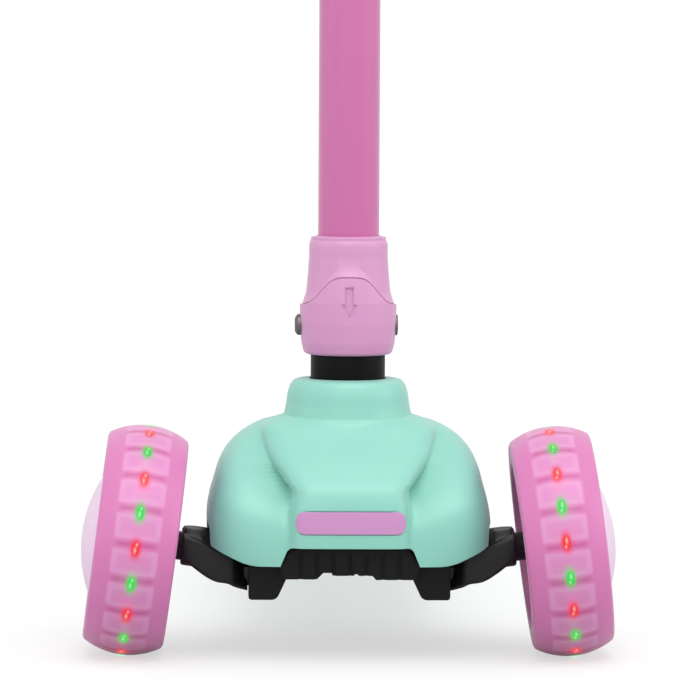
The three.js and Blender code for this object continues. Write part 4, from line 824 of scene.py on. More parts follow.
def makeShell():
    s, b, o = shellSizes, badgeSizes, shellOpenings
    outer = shellSkin("front_shell_skin")
    inner = copyPiece(outer, "inner")
    useModifier(inner, "DISPLACE", strength=-s["wall"] * mm, mid_level=0)
    editMesh(inner)
    bpy.ops.mesh.normals_make_consistent(inside=False)
    bpy.ops.object.mode_set(mode="OBJECT")
    cellar = roundedBlock("cellar", (-90, -70, 30), (90, 110, s["bottom"] + 0.01), 0)
    column = rodAlong("z", "column", s["columnHole"], -70, 10, 64)
    settle(column, moved(0, s["neckCentre"], pivotPlace.z / mm) @ turned(-stemLean, "X"))
    mouth = settle(raisedPiece("mouth", o["mouth"], 15, 80, corners=6), alongY)
    wedge = settle(raisedPiece("wedge", o["underLobe"], -120, 80, corners=10), alongY)
    otherWedge = mirrorPiece(wedge, "otherWedge")
    arch = raisedPiece("arch", o["wheelArch"], 56, 90, corners=6)
    settle(arch, turned(90, "Z") @ turned(90, "X"))
    otherArch = mirrorPiece(arch, "otherArch")
    deckRoom = roundedBlock("deckRoom", *o["deckRoom"], 0)
    seatFloor = b["seatRise"] - s["hoodFront"] - b["seatDepth"]
    seat = settle(raisedPiece("seat", badgeOutline(b["seam"], b["corner"]), seatFloor, 90, corners=6), alongY)
    shell = carve(outer, inner, cellar, column, mouth, wedge, otherWedge, arch, otherArch, deckRoom, seat)
    shell.name = shell.data.name = "front_shell_skin"
    useModifier(shell, "WELD", merge_threshold=mm / 50)
    softenEdges(shell, 0.55, 50, 2)
    settle(shell, inFront)
    return dress(shell, "mintShell", "chassis", "mint_shell", "front_shell", angle=28)


def makeBadge():
    # The plate follows the hood's front and stands a little proud of it
    b = badgeSizes
    steps = {"across": 56, "up": 14}
    rows = []
    for i in range(steps["across"] + 1):
        x = -b["halfLength"] + 2 * b["halfLength"] * i / steps["across"]
        inset = max(0, abs(x) - (b["halfLength"] - b["corner"]))
        half = b["halfHeight"] - b["corner"] + math.sqrt(max(0, b["corner"] ** 2 - inset ** 2))
        column = []
        for k in range(steps["up"] + 1):
            z = b["height"] + half * (2 * k / steps["up"] - 1)
            low, high = -60, 0
            for _ in range(halvings):
                y = (low + high) / 2
                if shellDepth(x, y, z) < 0:
                    high = y
                else:
                    low = y
            column.append(Vector((x, low - b["proud"], z)))
        rows.append(column)
    count = steps["up"] + 1
    faces = [
        (i * count + k, (i + 1) * count + k, (i + 1) * count + k + 1, i * count + k + 1)
        for i in range(steps["across"]) for k in range(steps["up"])
    ]
    mesh = bpy.data.meshes.new("badge_bare")
    mesh.from_pydata([p * mm for column in rows for p in column], [], faces)
    plate = bpy.data.objects.new("badge_bare", mesh)
    bpy.context.scene.collection.objects.link(plate)
    useModifier(plate, "SOLIDIFY", thickness=b["thickness"] * mm, offset=-1, use_even_offset=True)
    editMesh(plate)
    bpy.ops.mesh.remove_doubles(threshold=mm / 50)
    bpy.ops.mesh.normals_make_consistent(inside=False)
    bpy.ops.object.mode_set(mode="OBJECT")
    softenEdges(plate, 0.5, 50, 3)
    settle(plate, inFront)
    return dress(plate, "barePlate", "chassis", "badge", "badge_plate", angle=40)


makeShell()
makeBadge()
print("shell and plate made")


# Folding hinge: the cup, the knuckle with its arched ledge, the pivot bolt and the release button

hingeSizes = {
    "belly": 25.3, "neck": 20.6, "base": 22.9, "bottom": -15.3, "floor": 2.6, "bore": 20.7, "top": 47,
    "step": 0.9, "archRise": 14.8, "archFoot": 10.8, "archBend": 16.4, "skirt": 23.4, "ledge": 23.6,
    "lip": 1.5,
    "cheek": 9.4, "sides": 96, "ball": 19.6, "disc": 12.3, "lugHalf": 7.3, "lugDepth": 9.3,
    "buttonHeight": 28.7, "headRoom": 5.9, "socket": 16.3,
}


def hingeOutline(lower, inset=0):
    h = hingeSizes
    return [
        *lower, (h["belly"] - inset, 10, 9), ((h["belly"] + h["neck"]) / 2 - inset, 17.5, 14),
        (h["neck"] + 0.6, 27, 16), (h["neck"], 36, 10), (h["neck"], h["top"], 5.5), (0, h["top"]),
    ]


def cupOutline(inset):
    # The cup's front stands proud of the neck, up to the ledge of its arch
    h = hingeSizes
    return [
        (0, h["bottom"] + inset), (h["base"] - inset, h["bottom"] + inset, 2.6),
        ((h["base"] + 2 * h["belly"]) / 3 - inset, -9, 12), (h["belly"] - inset, 1, 8),
        (h["belly"] - inset, 12, 8),
        (h["ledge"] - inset, 30, 4), (h["ledge"] - inset, h["top"]), (0, h["top"]),
    ]


def archHeight(x):
    h = hingeSizes
    return h["archFoot"] + h["archRise"] * math.exp(-abs(x / h["archBend"]) ** 3.7)


def archTool(name, lift, back):
    h = hingeSizes
    half = h["belly"] + 1
    crest = []
    for i in range(105):
        x = half * (1 - i / 52)
        crest.append((x, archHeight(x) + lift))
    return settle(raisedPiece(name, [(-half, -40), (half, -40), *crest], -back, 60), alongY)


def arrowPiece(name, grow, front, back):
    # The generic push-down sign, a shaft and a head
    g = grow
    outline = [
        (-1.9 - g, 20.5 + g), (1.9 + g, 20.5 + g), (1.9 + g, 11.6 + g), (3.5 + g * 1.6, 11.6 + g),
        (0, 5.5 - g * 1.6), (-3.5 - g * 1.6, 11.6 + g), (-1.9 - g, 11.6 + g),
    ]
    return settle(raisedPiece(name, outline[::-1], front, back), alongY)


def bevelArch(cup):
    # The ledge's outer edge is rounded, so that it takes the light
    h = hingeSizes
    editMesh(cup)
    bpy.ops.mesh.select_mode(type="EDGE")
    bpy.ops.mesh.select_all(action="DESELECT")
    cage = bmesh.from_edit_mesh(cup.data)
    for edge in cage.edges:
        places = [v.co / mm for v in edge.verts]
        onArch = all(abs(p.z - archHeight(p.x)) < 0.08 for p in places)
        outside = all(math.hypot(p.x, p.y) > h["ledge"] - 0.3 and p.y < -6 for p in places)
        edge.select = onArch and outside and len(edge.link_faces) == 2 and edge.calc_face_angle() > 0.7
    bmesh.update_edit_mesh(cup.data)
    bpy.ops.mesh.bevel(offset=h["lip"] * mm, segments=4, affect="EDGES", clamp_overlap=True)
    bpy.ops.object.mode_set(mode="OBJECT")


def skirtPiece():
    # The band over the arch slopes out from the neck to the cup's face
    h = hingeSizes
    rings = []
    for i in range(57):
        angle = math.radians(70) * (i / 28 - 1)
        low = archHeight(h["skirt"] * math.sin(angle)) + 0.35
        high = low + 1.6 + 3.2 / (1 + (angle / 0.66) ** 8)
        section = [(17, low), (h["skirt"], low), (h["skirt"], low + 0.5), (h["neck"], high), (17, high)]
        rings.append([Vector((r * math.sin(angle), -r * math.cos(angle), z)) for r, z in section])
    return loftedPiece("skirt", rings)


def makeHinge():
    h = hingeSizes
    low = h["bottom"] + h["floor"]
    cup = spunPiece("hinge_cup_skin", cupOutline(0), h["sides"], closed=False, corners=6)
    keep = combine(
        archTool("keep", 0, 0), rodAlong("x", "cheeks", h["cheek"], -40, 40),
        roundedBlock("floorZone", (-40, -40, -30), (40, 40, low), 0),
    )
    combine(cup, keep, how="INTERSECT")
    bore = settle(spunPiece(
        "bore", [(0, low), (h["bore"], low, 1), (h["bore"], 60), (0, 60)], h["sides"], closed=False,
    ))
    behind = roundedBlock("behind", (-h["bore"], 0, low), (h["bore"], 45, h["top"]), 0)
    wide, deep = h["lugHalf"], h["lugDepth"]
    lugRoom = roundedBlock("lugRoom", (-wide, -deep, -40), (wide, deep, 0), 0)
    holes = [
        rodAlong("x", "hole", boltHole, -45, 45), rodAlong("x", "headRoom", h["headRoom"], -45, -24.1),
        rodAlong("x", "nutRoom", h["headRoom"], 22.9, 45),
    ]
    carve(cup, bore, behind, lugRoom, *holes)
    for grow, depth in ((0, 1.1), (0.45, 0.5)):
        arrow = arrowPiece("arrow", grow, 15, 40)
        carve(arrow, spunPiece("arrowBed", cupOutline(depth), h["sides"], closed=False, corners=6))
        carve(cup, arrow)
    useModifier(cup, "WELD", merge_threshold=mm / 50)
    bevelArch(cup)
    softenEdges(cup, 0.45, 50, 2)
    settle(cup, onStem)
    dress(cup, "pinkHinge", "chassis", "pink_hinge", "hinge_cup", angle=30)

    belly = h["belly"] - h["step"]
    outline = hingeOutline([(0, 0), (belly, 0)], h["step"])
    knuckle = spunPiece("stem_knuckle_skin", outline, h["sides"], closed=False, corners=6)
    carve(knuckle, archTool("archRoom", 0.35, 0.35), rodAlong("x", "cheekRoom", h["cheek"] + 0.6, -60, 60))
    core = rodAlong("z", "core", h["ball"], 0, 46, h["sides"])
    deselectAll()
    bpy.ops.mesh.primitive_uv_sphere_add(segments=64, ring_count=32, radius=h["ball"] * mm)
    ball = bpy.context.active_object
    combine(ball, rodAlong("x", "disc", h["disc"], -40, 40), how="INTERSECT")
    combine(knuckle, core, ball, skirtPiece())
    flat = roundedBlock("flat", (-45, h["disc"], -45), (45, 45, 23.6), 1.5, 3)
    slot = roundedBlock("slot", (-wide, -deep, -45), (wide, 45, deep), 0)
    socket = rodAlong("z", "socket", h["socket"], 34, 70, 96)
    buttonBore = settle(rodAlong("y", "buttonBore", boltHole, -10, 45), moved(0, 0, h["buttonHeight"]))
    carve(knuckle, flat, slot, socket, rodAlong("x", "hole", boltHole, -45, 45), buttonBore)
    useModifier(knuckle, "WELD", merge_threshold=mm / 50)
    softenEdges(knuckle, 0.4, 50, 2)
    settle(knuckle, onStem)
    dress(knuckle, "pinkHinge", "stem", "pink_hinge", "stem_knuckle", angle=30)


def hexSocket(name, across, start, end):
    corner = across / math.sqrt(3)
    angles = [math.tau * (i + 0.5) / 6 for i in range(6)]
    outline = [(corner * math.cos(a), corner * math.sin(a)) for a in angles]
    return raisedPiece(name, outline, start, end)


def hexHead(name, across, start, end, edge=0.5):
    # A nut or bolt head whose corners are turned down
    prism = hexSocket(name, across, start, end)
    corner = across / math.sqrt(3) + 0.1
    crown = [(0, start), (corner, start), (corner, end - edge * 1.2), (across / 2 - 0.1, end), (0, end)]
    return combine(prism, spunSolid("dome", crown), how="INTERSECT")


pivotOutlines = {
    "bolt": [
        (0, -27.9), (3.6, -27.9), (5.5, -26.6, 0.9), (5.5, -24, 0.2), (4, -24, 0.2), (4, 24.6, 0.6),
        (0, 25.2),
    ],
    "nut": [(4.3, 23.4, 0.2), (5.5, 23.4, 0.2), (5.5, 25.6, 0.4), (4.3, 26.3, 0.3)],
    "button": [
        (0, -1.2), (3.6, -1.2), (4, -0.6), (4, 23.2, 1.2), (2.9, 24.8, 0.8), (2.3, 24.3, 0.5),
        (0, 24.1),
    ],
}


def makePivotBolt():
    bolt = spunSolid("pivot_bolt_turned", pivotOutlines["bolt"])
    carve(bolt, hexSocket("key", 4, -40, -25.8))
    dress(settle(bolt, onStem @ alongX), "boltSteel", "chassis", "zinc_steel", "pivot_bolt")
    nut = spunPiece("pivot_nut_turned", pivotOutlines["nut"], 48)
    dress(settle(nut, onStem @ alongX), "boltSteel", "chassis", "zinc_steel", "pivot_nut")


def makeButton():
    button = spunSolid("release_button_cap", pivotOutlines["button"])
    settle(button, onStem @ moved(0, 0, hingeSizes["buttonHeight"]) @ turned(-90, "X"))
    dress(button, "blackNylon", "button", "black_plastic", "release_button")


def coilPoints(radius, turns, start, end, steps):
    # A helix along X
    points = []
    for i in range(int(turns * steps) + 1):
        angle, x = math.tau * i / steps, start + (end - start) * i / (turns * steps)
        points.append((x, radius * math.cos(angle), radius * math.sin(angle)))
    return points


# Coil radius, turns, start, end, wire radius and steps to a turn
springSizes = {
    "centring": (4, 4, 3.6, 23.9, 0.7, 16), "brake": (4.6, 4, -10.4, 10.4, 0.8, 20),
    "release": (2.8, 4, -9.2, -2.0, 0.5, 20),
}


def makeSpring(kind, name, node, body, place, sign=1):
    radius, turns, start, end, wire, steps = springSizes[kind]
    spring = wirePiece(name, coilPoints(radius, turns, start * sign, end * sign, steps), wire, 12)
    dress(settle(spring, place), "springSteel", body, "spring_steel", node)


def makeSprings():
    button = onStem @ moved(0, 0, hingeSizes["buttonHeight"]) @ turned(90, "Z")
    for side, sign in sideSigns.items():
        place = onTie @ moved(0, 33, -4.9)
        makeSpring("centring", f"centring_coil_{side}", f"centring_spring_{side}", "chassis", place, sign)
    makeSpring("brake", "brake_coil", "brake_spring", "chassis", Matrix.Translation(middleOf("brake_pin")))
    makeSpring("release", "release_coil", "release_spring", "stem", button)


makeHinge()
makePivotBolt()
makeButton()
makeSprings()
print("hinge made")


# Steering column, stem tube, clamp and inner tube

columnSizes = {
    "outline": [
        (0, -104.7), (18.5, -104.7), (19.5, -103.7), (19.5, -33, 0.3), (19.1, -32.6, 0.2), (19.1, -31.8, 0.2),
        (19.5, -31.4, 0.3), (19.5, -15.6, 0.5), (0, -15.6),
    ],
    "lugHalf": 7, "lugDepth": 9, "lugFoot": -30,
}


def makeColumn():
    c = columnSizes
    wide, deep = c["lugHalf"], c["lugDepth"]
    column = spunSolid("steering_column_turned", c["outline"], 96)
    lug = roundedBlock("lug", (-wide, -deep, c["lugFoot"]), (wide, deep, 0), 0)
    combine(column, lug, rodAlong("x", "lugTop", deep, -wide, wide, 64))
    carve(column, rodAlong("x", "hole", boltHole, -20, 20))
    softenEdges(column, 0.3, 50, 2)
    dress(settle(column, onStem), "blackPaint", "chassis", "black_column", "steering_column")


stemSizes = {
    "radius": 16, "wall": 1.5, "from": 34.3, "top": 311, "inner": 12.7, "innerWall": 1.5, "innerFrom": 75,
    "innerTop": 467.2, "bushing": 14.2, "bushingBore": 13, "bushingDepth": 38,
    "detents": 5, "detent": 2.6, "firstDetent": 322, "detentPitch": 28,
}


def makeStem():
    s = stemSizes
    edges = (0.3, 0.5, 0.4, 0.3)
    tube = tubePiece("stem_tube_drawn", s["radius"] - s["wall"], s["radius"], s["from"], s["top"], 96, edges)
    dress(settle(tube, onStem), "pinkPaint", "stem", "pink_paint", "stem_tube")
    outer, inner, top = s["bushing"], s["bushingBore"], s["top"]
    foot, collar = top - s["bushingDepth"], s["radius"]
    bushing = spunPiece(
        "stem_bushing_moulded",
        [
            (inner, foot, 0.3), (outer, foot, 0.5), (outer, top + 0.3), (collar, top + 0.3, 0.2),
            (collar, top + 2.3, 0.8), (inner, top + 2.3, 0.5),
        ], 72,
    )
    dress(settle(bushing, onStem), "blackNylon", "stem", "black_plastic", "stem_bushing")
    bore = s["inner"] - s["innerWall"]
    sliding = tubePiece("inner_tube_drawn", bore, s["inner"], s["innerFrom"], s["innerTop"], 96, edges)
    detents = [rodAlong("y", "detent", s["detent"], 5, 30, 24) for _ in range(s["detents"])]
    for i, detent in enumerate(detents):
        settle(detent, moved(0, 0, s["firstDetent"] + s["detentPitch"] * i))
    carve(sliding, *detents)
    softenEdges(sliding, 0.15, 60, 1)
    dress(settle(sliding, onStem), "brightTube", "handlebar", "chrome_tube", "inner_tube")


clampSizes = {
    "top": 311, "foot": 281, "middle": 296, "radius": 20.7, "bore": 16.3, "groovePitch": 5, "grooveHalf": 0.5,
    "earHalf": 9, "earRise": 11, "earFrom": 18.2, "earTo": 35.7, "slit": 1.5, "boltHole": 3.3, "nutSeat": 6,
    "boltY": 28.2, "pinX": 14, "pinHole": 2.7, "eye": 4.3, "eyeHalf": 3.1, "nut": 8.6, "cam": 4.3,
    "leverHalf": 7,
    "boltOutline": [(0, -13.4), (2.6, -13.4), (3, -12.9), (3, 14), (0, 14)],
    "pinOutline": [(0, -7), (2, -7), (2.4, -6.5), (2.4, 6.5), (2, 7), (0, 7)],
}
# Each side of the lever is a bow from the cam to the tip, given by the X of three points and the fall of two
leverBow = {
    "outside": (2.25, 15.5, 13.25), "inside": (-2.25, 11, 8.75), "fall": (-14, -42), "steps": 12,
    "tip": 1.6,
}


def bowPoints(xs, backwards):
    b, points = leverBow, []
    for i in range(b["steps"] + 1):
        t = 1 - i / b["steps"] if backwards else i / b["steps"]
        x = (1 - t) ** 2 * xs[0] + 2 * t * (1 - t) * xs[1] + t * t * xs[2]
        points.append((x, b["fall"][1] * t * t + 2 * b["fall"][0] * t * (1 - t)))
    tip = 0 if backwards else -1
    points[tip] = (xs[2], b["fall"][1], b["tip"])
    return points


def makeClamp():
    c = clampSizes
    top, middle, outer, bore = c["top"], c["middle"], c["radius"], c["bore"]
    collar = [
        (bore, c["foot"], 0.4), (outer, c["foot"], 1.4), (outer + 0.3, middle, 20), (outer, top, 1.4),
        (bore, top, 0.4),
    ]
    ring = spunPiece("clamp_collar_moulded", collar, 96)
    wide, rise = c["earHalf"], c["earRise"]
    ears = roundedBlock(
        "ears", (-wide, c["earFrom"], middle - rise), (wide, c["earTo"], middle + rise), 2.2, 4,
    )
    carve(ears, rodAlong("z", "bore", bore, top - 60, top + 60, 96))
    combine(ring, ears)
    atBolt = moved(0, c["boltY"], middle)
    hole = settle(rodAlong("x", "hole", c["boltHole"], -30, 30), atBolt)
    nutSeat = settle(rodAlong("x", "nutSeat", c["nutSeat"], -30, -8.4), atBolt)
    # Grooves run round the front and sides, and stop before the ears
    rims = []
    for k in (-1, 0, 1):
        low = middle + k * c["groovePitch"] - c["grooveHalf"]
        high = middle + k * c["groovePitch"] + c["grooveHalf"]
        rim = tubePiece("rim", outer - 0.5, outer + 4, low, high)
        rims.append(combine(rim, roundedBlock("groove", (-40, -40, low), (40, 8, high), 0), how="INTERSECT"))
    carve(ring, roundedBlock("slit", (-c["slit"], 0, 200), (c["slit"], 60, 400), 0), hole, nutSeat, *rims)
    softenEdges(ring, 0.3, 55, 2)
    dress(settle(ring, onStem), "blackNylon", "stem", "black_plastic", "clamp_collar")

    bolt = settle(spunSolid("clamp_bolt_turned", c["boltOutline"], 36), alongX)
    nut = settle(hexHead("nut", c["nut"], 0, 4, 0.5), alongX @ turned(180, "Y") @ moved(0, 0, 9.3))
    atPin = moved(c["pinX"], 0, 0)
    eye = tubePiece("eye", c["pinHole"], c["eye"], -c["eyeHalf"], c["eyeHalf"], 36, (0.2, 0.5, 0.5, 0.2))
    settle(eye, atPin)
    carve(bolt, settle(rodAlong("z", "pinHole", c["pinHole"], -20, 20), atPin))
    combine(bolt, nut, eye)
    dress(settle(bolt, onStem @ atBolt), "zincSteel", "stem", "zinc_steel", "clamp_bolt")
    pin = spunSolid("lever_pin_turned", c["pinOutline"], 32)
    onPin = onStem @ moved(c["pinX"], c["boltY"], middle)
    dress(settle(pin, onPin), "zincSteel", "stem", "zinc_steel", "lever_pin")

    half = c["leverHalf"]
    outline = bowPoints(leverBow["outside"], False) + bowPoints(leverBow["inside"], True)
    lever = raisedPiece("clamp_lever_moulded", outline[::-1], -half, half, 1.4, corners=4, edgeSteps=4)
    combine(lever, rodAlong("z", "cam", c["cam"], -half, half, 48, 0.6))
    eyeRoom = roundedBlock("eyeRoom", (-30, -4.9, -3.4), (30, 30, 3.4), 0)
    carve(lever, eyeRoom, rodAlong("z", "hole", c["pinHole"], -20, 20))
    softenEdges(lever, 0.25, 55, 2)
    dress(settle(lever, onPin), "blackNylon", "lever", "black_plastic", "clamp_lever")


handlebarSizes = {
    "rise": 480, "bar": 11, "barBore": 9.5, "barHalf": 135, "tee": 15, "teeBore": 11.3, "teeHalf": 32,
    "socket": 17, "socketBore": 13, "socketDepth": 45, "screwDrop": 32, "screwSeat": 3.2,
    "grip": 16, "gripValley": 14.9, "gripFrom": 40, "gripEnd": 139, "flange": 20, "ribs": 13, "ribPitch": 5.6,
    "screwOutline": [(0, 14.4), (2.9, 14.4, 0.1), (2.9, 15.7, 0.5), (0, 16.1)],
}


def gripOutline():
    h = handlebarSizes
    grip, valley, flange, start = h["grip"], h["gripValley"], h["flange"], h["gripFrom"]
    outline = [
        (0, h["barHalf"] + 0.3), (h["teeBore"], h["barHalf"] + 0.3), (h["teeBore"], start, 0.3),
        (flange, start, 1.2),
        (flange, start + 3.5, 1.2), (grip, 44.6, 1.2),
    ]
    for i in range(h["ribs"]):
        foot = 50 + i * h["ribPitch"]
        outline += [
            (grip, foot, 0.5), (valley, foot + 0.8, 0.5), (valley, foot + 2.2, 0.5),
            (grip, foot + 3, 0.5),
        ]
    return outline + [(grip, 130, 0.8), (18, 132, 1.5), (18, h["gripEnd"], 2.6), (0, h["gripEnd"])]


def makeHandlebar():
    h = handlebarSizes
    high, bore, hole = h["rise"], h["teeBore"], h["socketBore"]
    onBar = onStem @ moved(0, 0, high) @ alongX
    socket = tubePiece(
        "tee_joint_welded", hole, h["socket"], high - h["socketDepth"], high, 96, (0.4, 1.6, 0, 0),
    )
    arms = tubePiece("arms", bore, h["tee"], -h["teeHalf"], h["teeHalf"], 96, (0.3, 2, 2, 0.3))
    settle(arms, moved(0, 0, high) @ alongX)
    carve(socket, settle(rodAlong("x", "barRoom", bore, -60, 60, 96), moved(0, 0, high)))
    carve(arms, rodAlong("z", "tubeRoom", hole, high - 80, high - 12.5, 96))
    combine(socket, arms)
    atScrew = moved(0, 0, high - h["screwDrop"])
    carve(socket, settle(rodAlong("y", "screwSeat", h["screwSeat"], 10, 40, 32), atScrew))
    softenEdges(socket, 0.5, 50, 3)
    dress(settle(socket, onStem), "pinkPaint", "handlebar", "pink_paint", "tee_joint", angle=40)
    screw = spunSolid("tee_screw", h["screwOutline"], 36)
    carve(screw, hexSocket("key", 2.5, 15.2, 30))
    dress(settle(screw, onStem @ atScrew @ turned(-90, "X")), "zincSteel", "handlebar", "zinc_steel")
    bar = tubePiece(
        "crossbar_drawn", h["barBore"], h["bar"], -h["barHalf"], h["barHalf"], 72,
        (0.3, 0.5, 0.5, 0.3),
    )
    dress(settle(bar, onBar), "pinkPaint", "handlebar", "pink_paint", "crossbar")

    grip = spunSolid("grip_moulded_left", gripOutline(), 72, 3)
    flutes = ringOf(settle(roundedBlock("flute", (15.2, -0.5, 50), (30, 0.5, 127), 0)), 12)
    carve(grip, flutes)
    dress(settle(grip, onBar), "mintGrip", "handlebar", "mint_grip", "grip_left")
    other = mirrorPiece(grip, "grip_moulded_right")
    other["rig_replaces"] = []
    dress(other, "mintGrip", "handlebar", "mint_grip", "grip_right")


makeColumn()
makeStem()
makeClamp()
makeHandlebar()
print("stem and handlebar made")


# Front wheels: each form is made once along its own axle and copied to both sides

def onBothWheels(form, name, finish, kind, slotName, node=None, angle=32):
    for side in sideSigns:
        piece = copyPiece(form, f"{name}_{side}", onWheel[side])
        nodes = [f"{node}_{side}"] if node else []
        dress(piece, finish.format(side), f"{side}_{kind}", slotName, *nodes, angle=angle)
    bpy.data.objects.remove(form)


tyreSizes = {
    "radius": 60, "crown": 38, "half": 21, "shoulder": 0.9, "bore": 42.9, "channel": 52.4,
    "channelHalf": 14.3, "sides": 160,
}


def crownLine(radius, crown, reach, steps):
    angles = [reach * (2 * i / steps - 1) for i in range(steps + 1)]
    return [(radius - crown + crown * math.cos(a), crown * math.sin(a)) for a in angles]


def makeFrontTyres():
    t = tyreSizes
    crown = crownLine(t["radius"], t["crown"], math.asin((t["half"] - t["shoulder"]) / t["crown"]), 14)
    side = crown[0][0] - 2 * t["shoulder"]
    crown[0], crown[-1] = (*crown[0], 0.5), (*crown[-1], 0.5)
    half, channel = t["half"], t["channelHalf"]
    outline = [
        (t["bore"], -half, 0.6), (side, -half, 0.9), *crown, (side, half, 0.9), (t["bore"], half, 0.6),
        (t["bore"], channel, 0.3), (t["channel"], channel, 0.5), (t["channel"], -channel, 0.5),
        (t["bore"], -channel, 0.3),
    ]
    tyre = settle(spunPiece("tyre", outline, t["sides"]), alongX)
    onBothWheels(tyre, "tyre_moulded", "tyre_{}", "wheel", "pink_tyre", "front_tyre", angle=24)


hubSizes = {
    "rim": 46.5, "rimInner": 41.6, "rimHalf": 14, "web": 2.5, "webEdge": 43.1, "boss": 14, "bossHalf": 15.45,
    "core": 10.3, "pocket": 11.3, "pocketFrom": 8, "blocks": 18, "spokes": 6, "blockTop": 50.9,
    "blockRoot": 43.1, "lamp": 1.8, "lampRise": 46.8,
}


def makeFrontHubs():
    h = hubSizes
    half, pocket, root = h["rimHalf"], h["pocket"], h["blockRoot"]
    rim = tubePiece("hub", h["rimInner"], h["rim"], -half, half, 144, (0.6, 0.8, 0.8, 0.6))
    web = tubePiece("web", h["core"], h["webEdge"], -h["web"], h["web"])
    boss = tubePiece("boss", h["core"], h["boss"], -h["bossHalf"], h["bossHalf"], 72, (0, 0.6, 0.6, 0))
    for form in (rim, web, boss):
        settle(form, alongX)
    block = roundedBlock("block", (-12.5, -5.25, root), (12.5, 5.25, h["blockTop"]), 0.9, 3)
    blocks = ringOf(block, h["blocks"], "X")
    spokes = ringOf(roundedBlock("spoke", (-11.5, -2.5, 11.6), (0, 2.5, root), 0.5, 2), h["spokes"], "X")
    combine(rim, web, boss, spokes, blocks)
    outerPocket = rodAlong("x", "pocket", pocket, h["pocketFrom"], 40, 72)
    carve(rim, outerPocket, rodAlong("x", "pocket", pocket, -40, -h["pocketFrom"], 72))
    softenEdges(rim, 0.25, 50, 2)
    onBothWheels(rim, "hub_moulded", "lilacHub", "wheel", "lilac_hub", "front_hub")
    spot = (0, 0, h["lampRise"] * mm)
    for finish, start in (("lampRed", 90), ("lampGreen", 110)):
        deselectAll()
        bpy.ops.mesh.primitive_uv_sphere_add(segments=16, ring_count=10, radius=h["lamp"] * mm, location=spot)
        lamps = ringOf(settle(bpy.context.active_object), h["blocks"] // 2, "X", start)
        onBothWheels(lamps, f"{finish}_rim", finish, "wheel", "light_board")


capSizes = {
    "apex": 28, "dome": 70, "wall": 2, "rim": 40.66, "foot": 12.98, "grooveFrom": 33.2, "grooveTo": 34,
    "dish": 30, "steps": 12,
}


def makeHubCaps():
    c = capSizes
    apex, dome, wall, rim, foot = c["apex"], c["dome"], c["wall"], c["rim"], c["foot"]
    outer, inner = [], []
    for i in range(c["steps"] + 1):
        angle = math.asin(rim / dome) * i / c["steps"]
        outer.append((dome * math.sin(angle), apex - dome + dome * math.cos(angle)))
        angle = math.asin((rim - wall) / (dome - wall)) * (1 - i / c["steps"])
        inner.append(((dome - wall) * math.sin(angle), apex - dome + (dome - wall) * math.cos(angle)))
    outer[-1] = (*outer[-1], 0.5)
    cap = spunSolid("cap", [*outer, (rim, foot, 0.3), (rim - wall, foot, 0.3), *inner], 128)
    groove = tubePiece("groove", c["grooveFrom"], c["grooveTo"], 17, 30, 128)
    bowl = [
        (0, 0), (60, 0), (60, apex - 5.2), (c["grooveTo"], apex - 9.3), (c["dish"], apex - 7.2),
        (0, apex - 0.5),
    ]
    carve(cap, carve(groove, spunSolid("bowl", bowl, 128)))
    softenEdges(cap, 0.12, 50, 1)
    onBothWheels(settle(cap, alongX), "cap_moulded", "frostCap", "wheel", "lilac_hub", "hub_cap", angle=28)


insideSizes = {
    "board": 33, "boardOuter": 40.66, "boardLow": 2.8, "boardHigh": 5.8, "lampRise": 36.8, "lamps": 6,
    "magnet": 10, "magnetHalf": 7.85, "bearings": {"outer": 8.15, "inner": -15.15},
    "lampOutline": [(0, 5.7), (2.2, 5.7), (2.2, 6.6), (1.8, 7.4, 0.6), (0.9, 8, 0.6), (0, 8)],
    "axleOutline": [(0, -38.4), (3.5, -38.4), (4, -37.9), (4, 15.7), (0, 15.7)],
}


def makeWheelInsides():
    n = insideSizes
    board = tubePiece("board", n["board"], n["boardOuter"], n["boardLow"], n["boardHigh"], 96, (0.2,) * 4)
    onBothWheels(settle(board, alongX), "board_cut", "lampBoard", "wheel", "light_board", "light_ring")
    lamp = settle(spunSolid("lamp", n["lampOutline"], 24, 3), moved(0, 0, n["lampRise"]) @ alongX)
    onBothWheels(ringOf(lamp, n["lamps"], "X", 30), "board_lamps", "lampWhite", "wheel", "light_board")
    chip = roundedBlock("chip", (5.7, -1.5, 35.2), (6.7, 1.5, 36.8), 0.15)
    small = roundedBlock("small", (5.7, 3.4, 37.2), (6.3, 4.4, 39), 0.1)
    chips = ringOf(joinPieces(chip, small), n["lamps"], "X", 0)
    onBothWheels(chips, "board_chips", "blackNylon", "wheel", "light_board")
    for name, start in n["bearings"].items():
        onBothWheels(
            makeBearing(start), f"{name}_race", "groundSteel", "wheel", "bearing_steel",
            f"{name}_bearing",
        )
        onBothWheels(makeSeals(start), f"{name}_seals", "bearingSeal", "wheel", "mat_rubber")
    half = n["magnetHalf"]
    core = settle(tubePiece("core", boltHole, n["magnet"], -half, half, 64, (0.3, 0.6, 0.6, 0.3)), alongX)
    onBothWheels(core, "magnet_ground", "springSteel", "arm", "spring_steel", "magnet_core")
    bolt = combine(spunSolid("shank", n["axleOutline"]), hexHead("head", boltHead, 15.45, 20.05, 0.6))
    onBothWheels(settle(bolt, alongX), "axle_turned", "zincSteel", "arm", "zinc_steel", "axle_bolt")


# One half of a bearing's section, from its outer ring in to its bore
bearingHalf = [
    (11, 0, 0.4), (11, 7, 0.4), (9.5, 7, 0.15), (9.3, 6.5), (5.8, 6.5), (5.6, 7, 0.15),
    (boltHole, 7, 0.3),
]


def makeBearing(start):
    otherHalf = [(r, 7 - h, *fillet) for r, h, *fillet in bearingHalf[:1:-1]]
    return settle(spunPiece("bearing", bearingHalf + otherHalf, 64), moved(start, 0, 0) @ alongX)


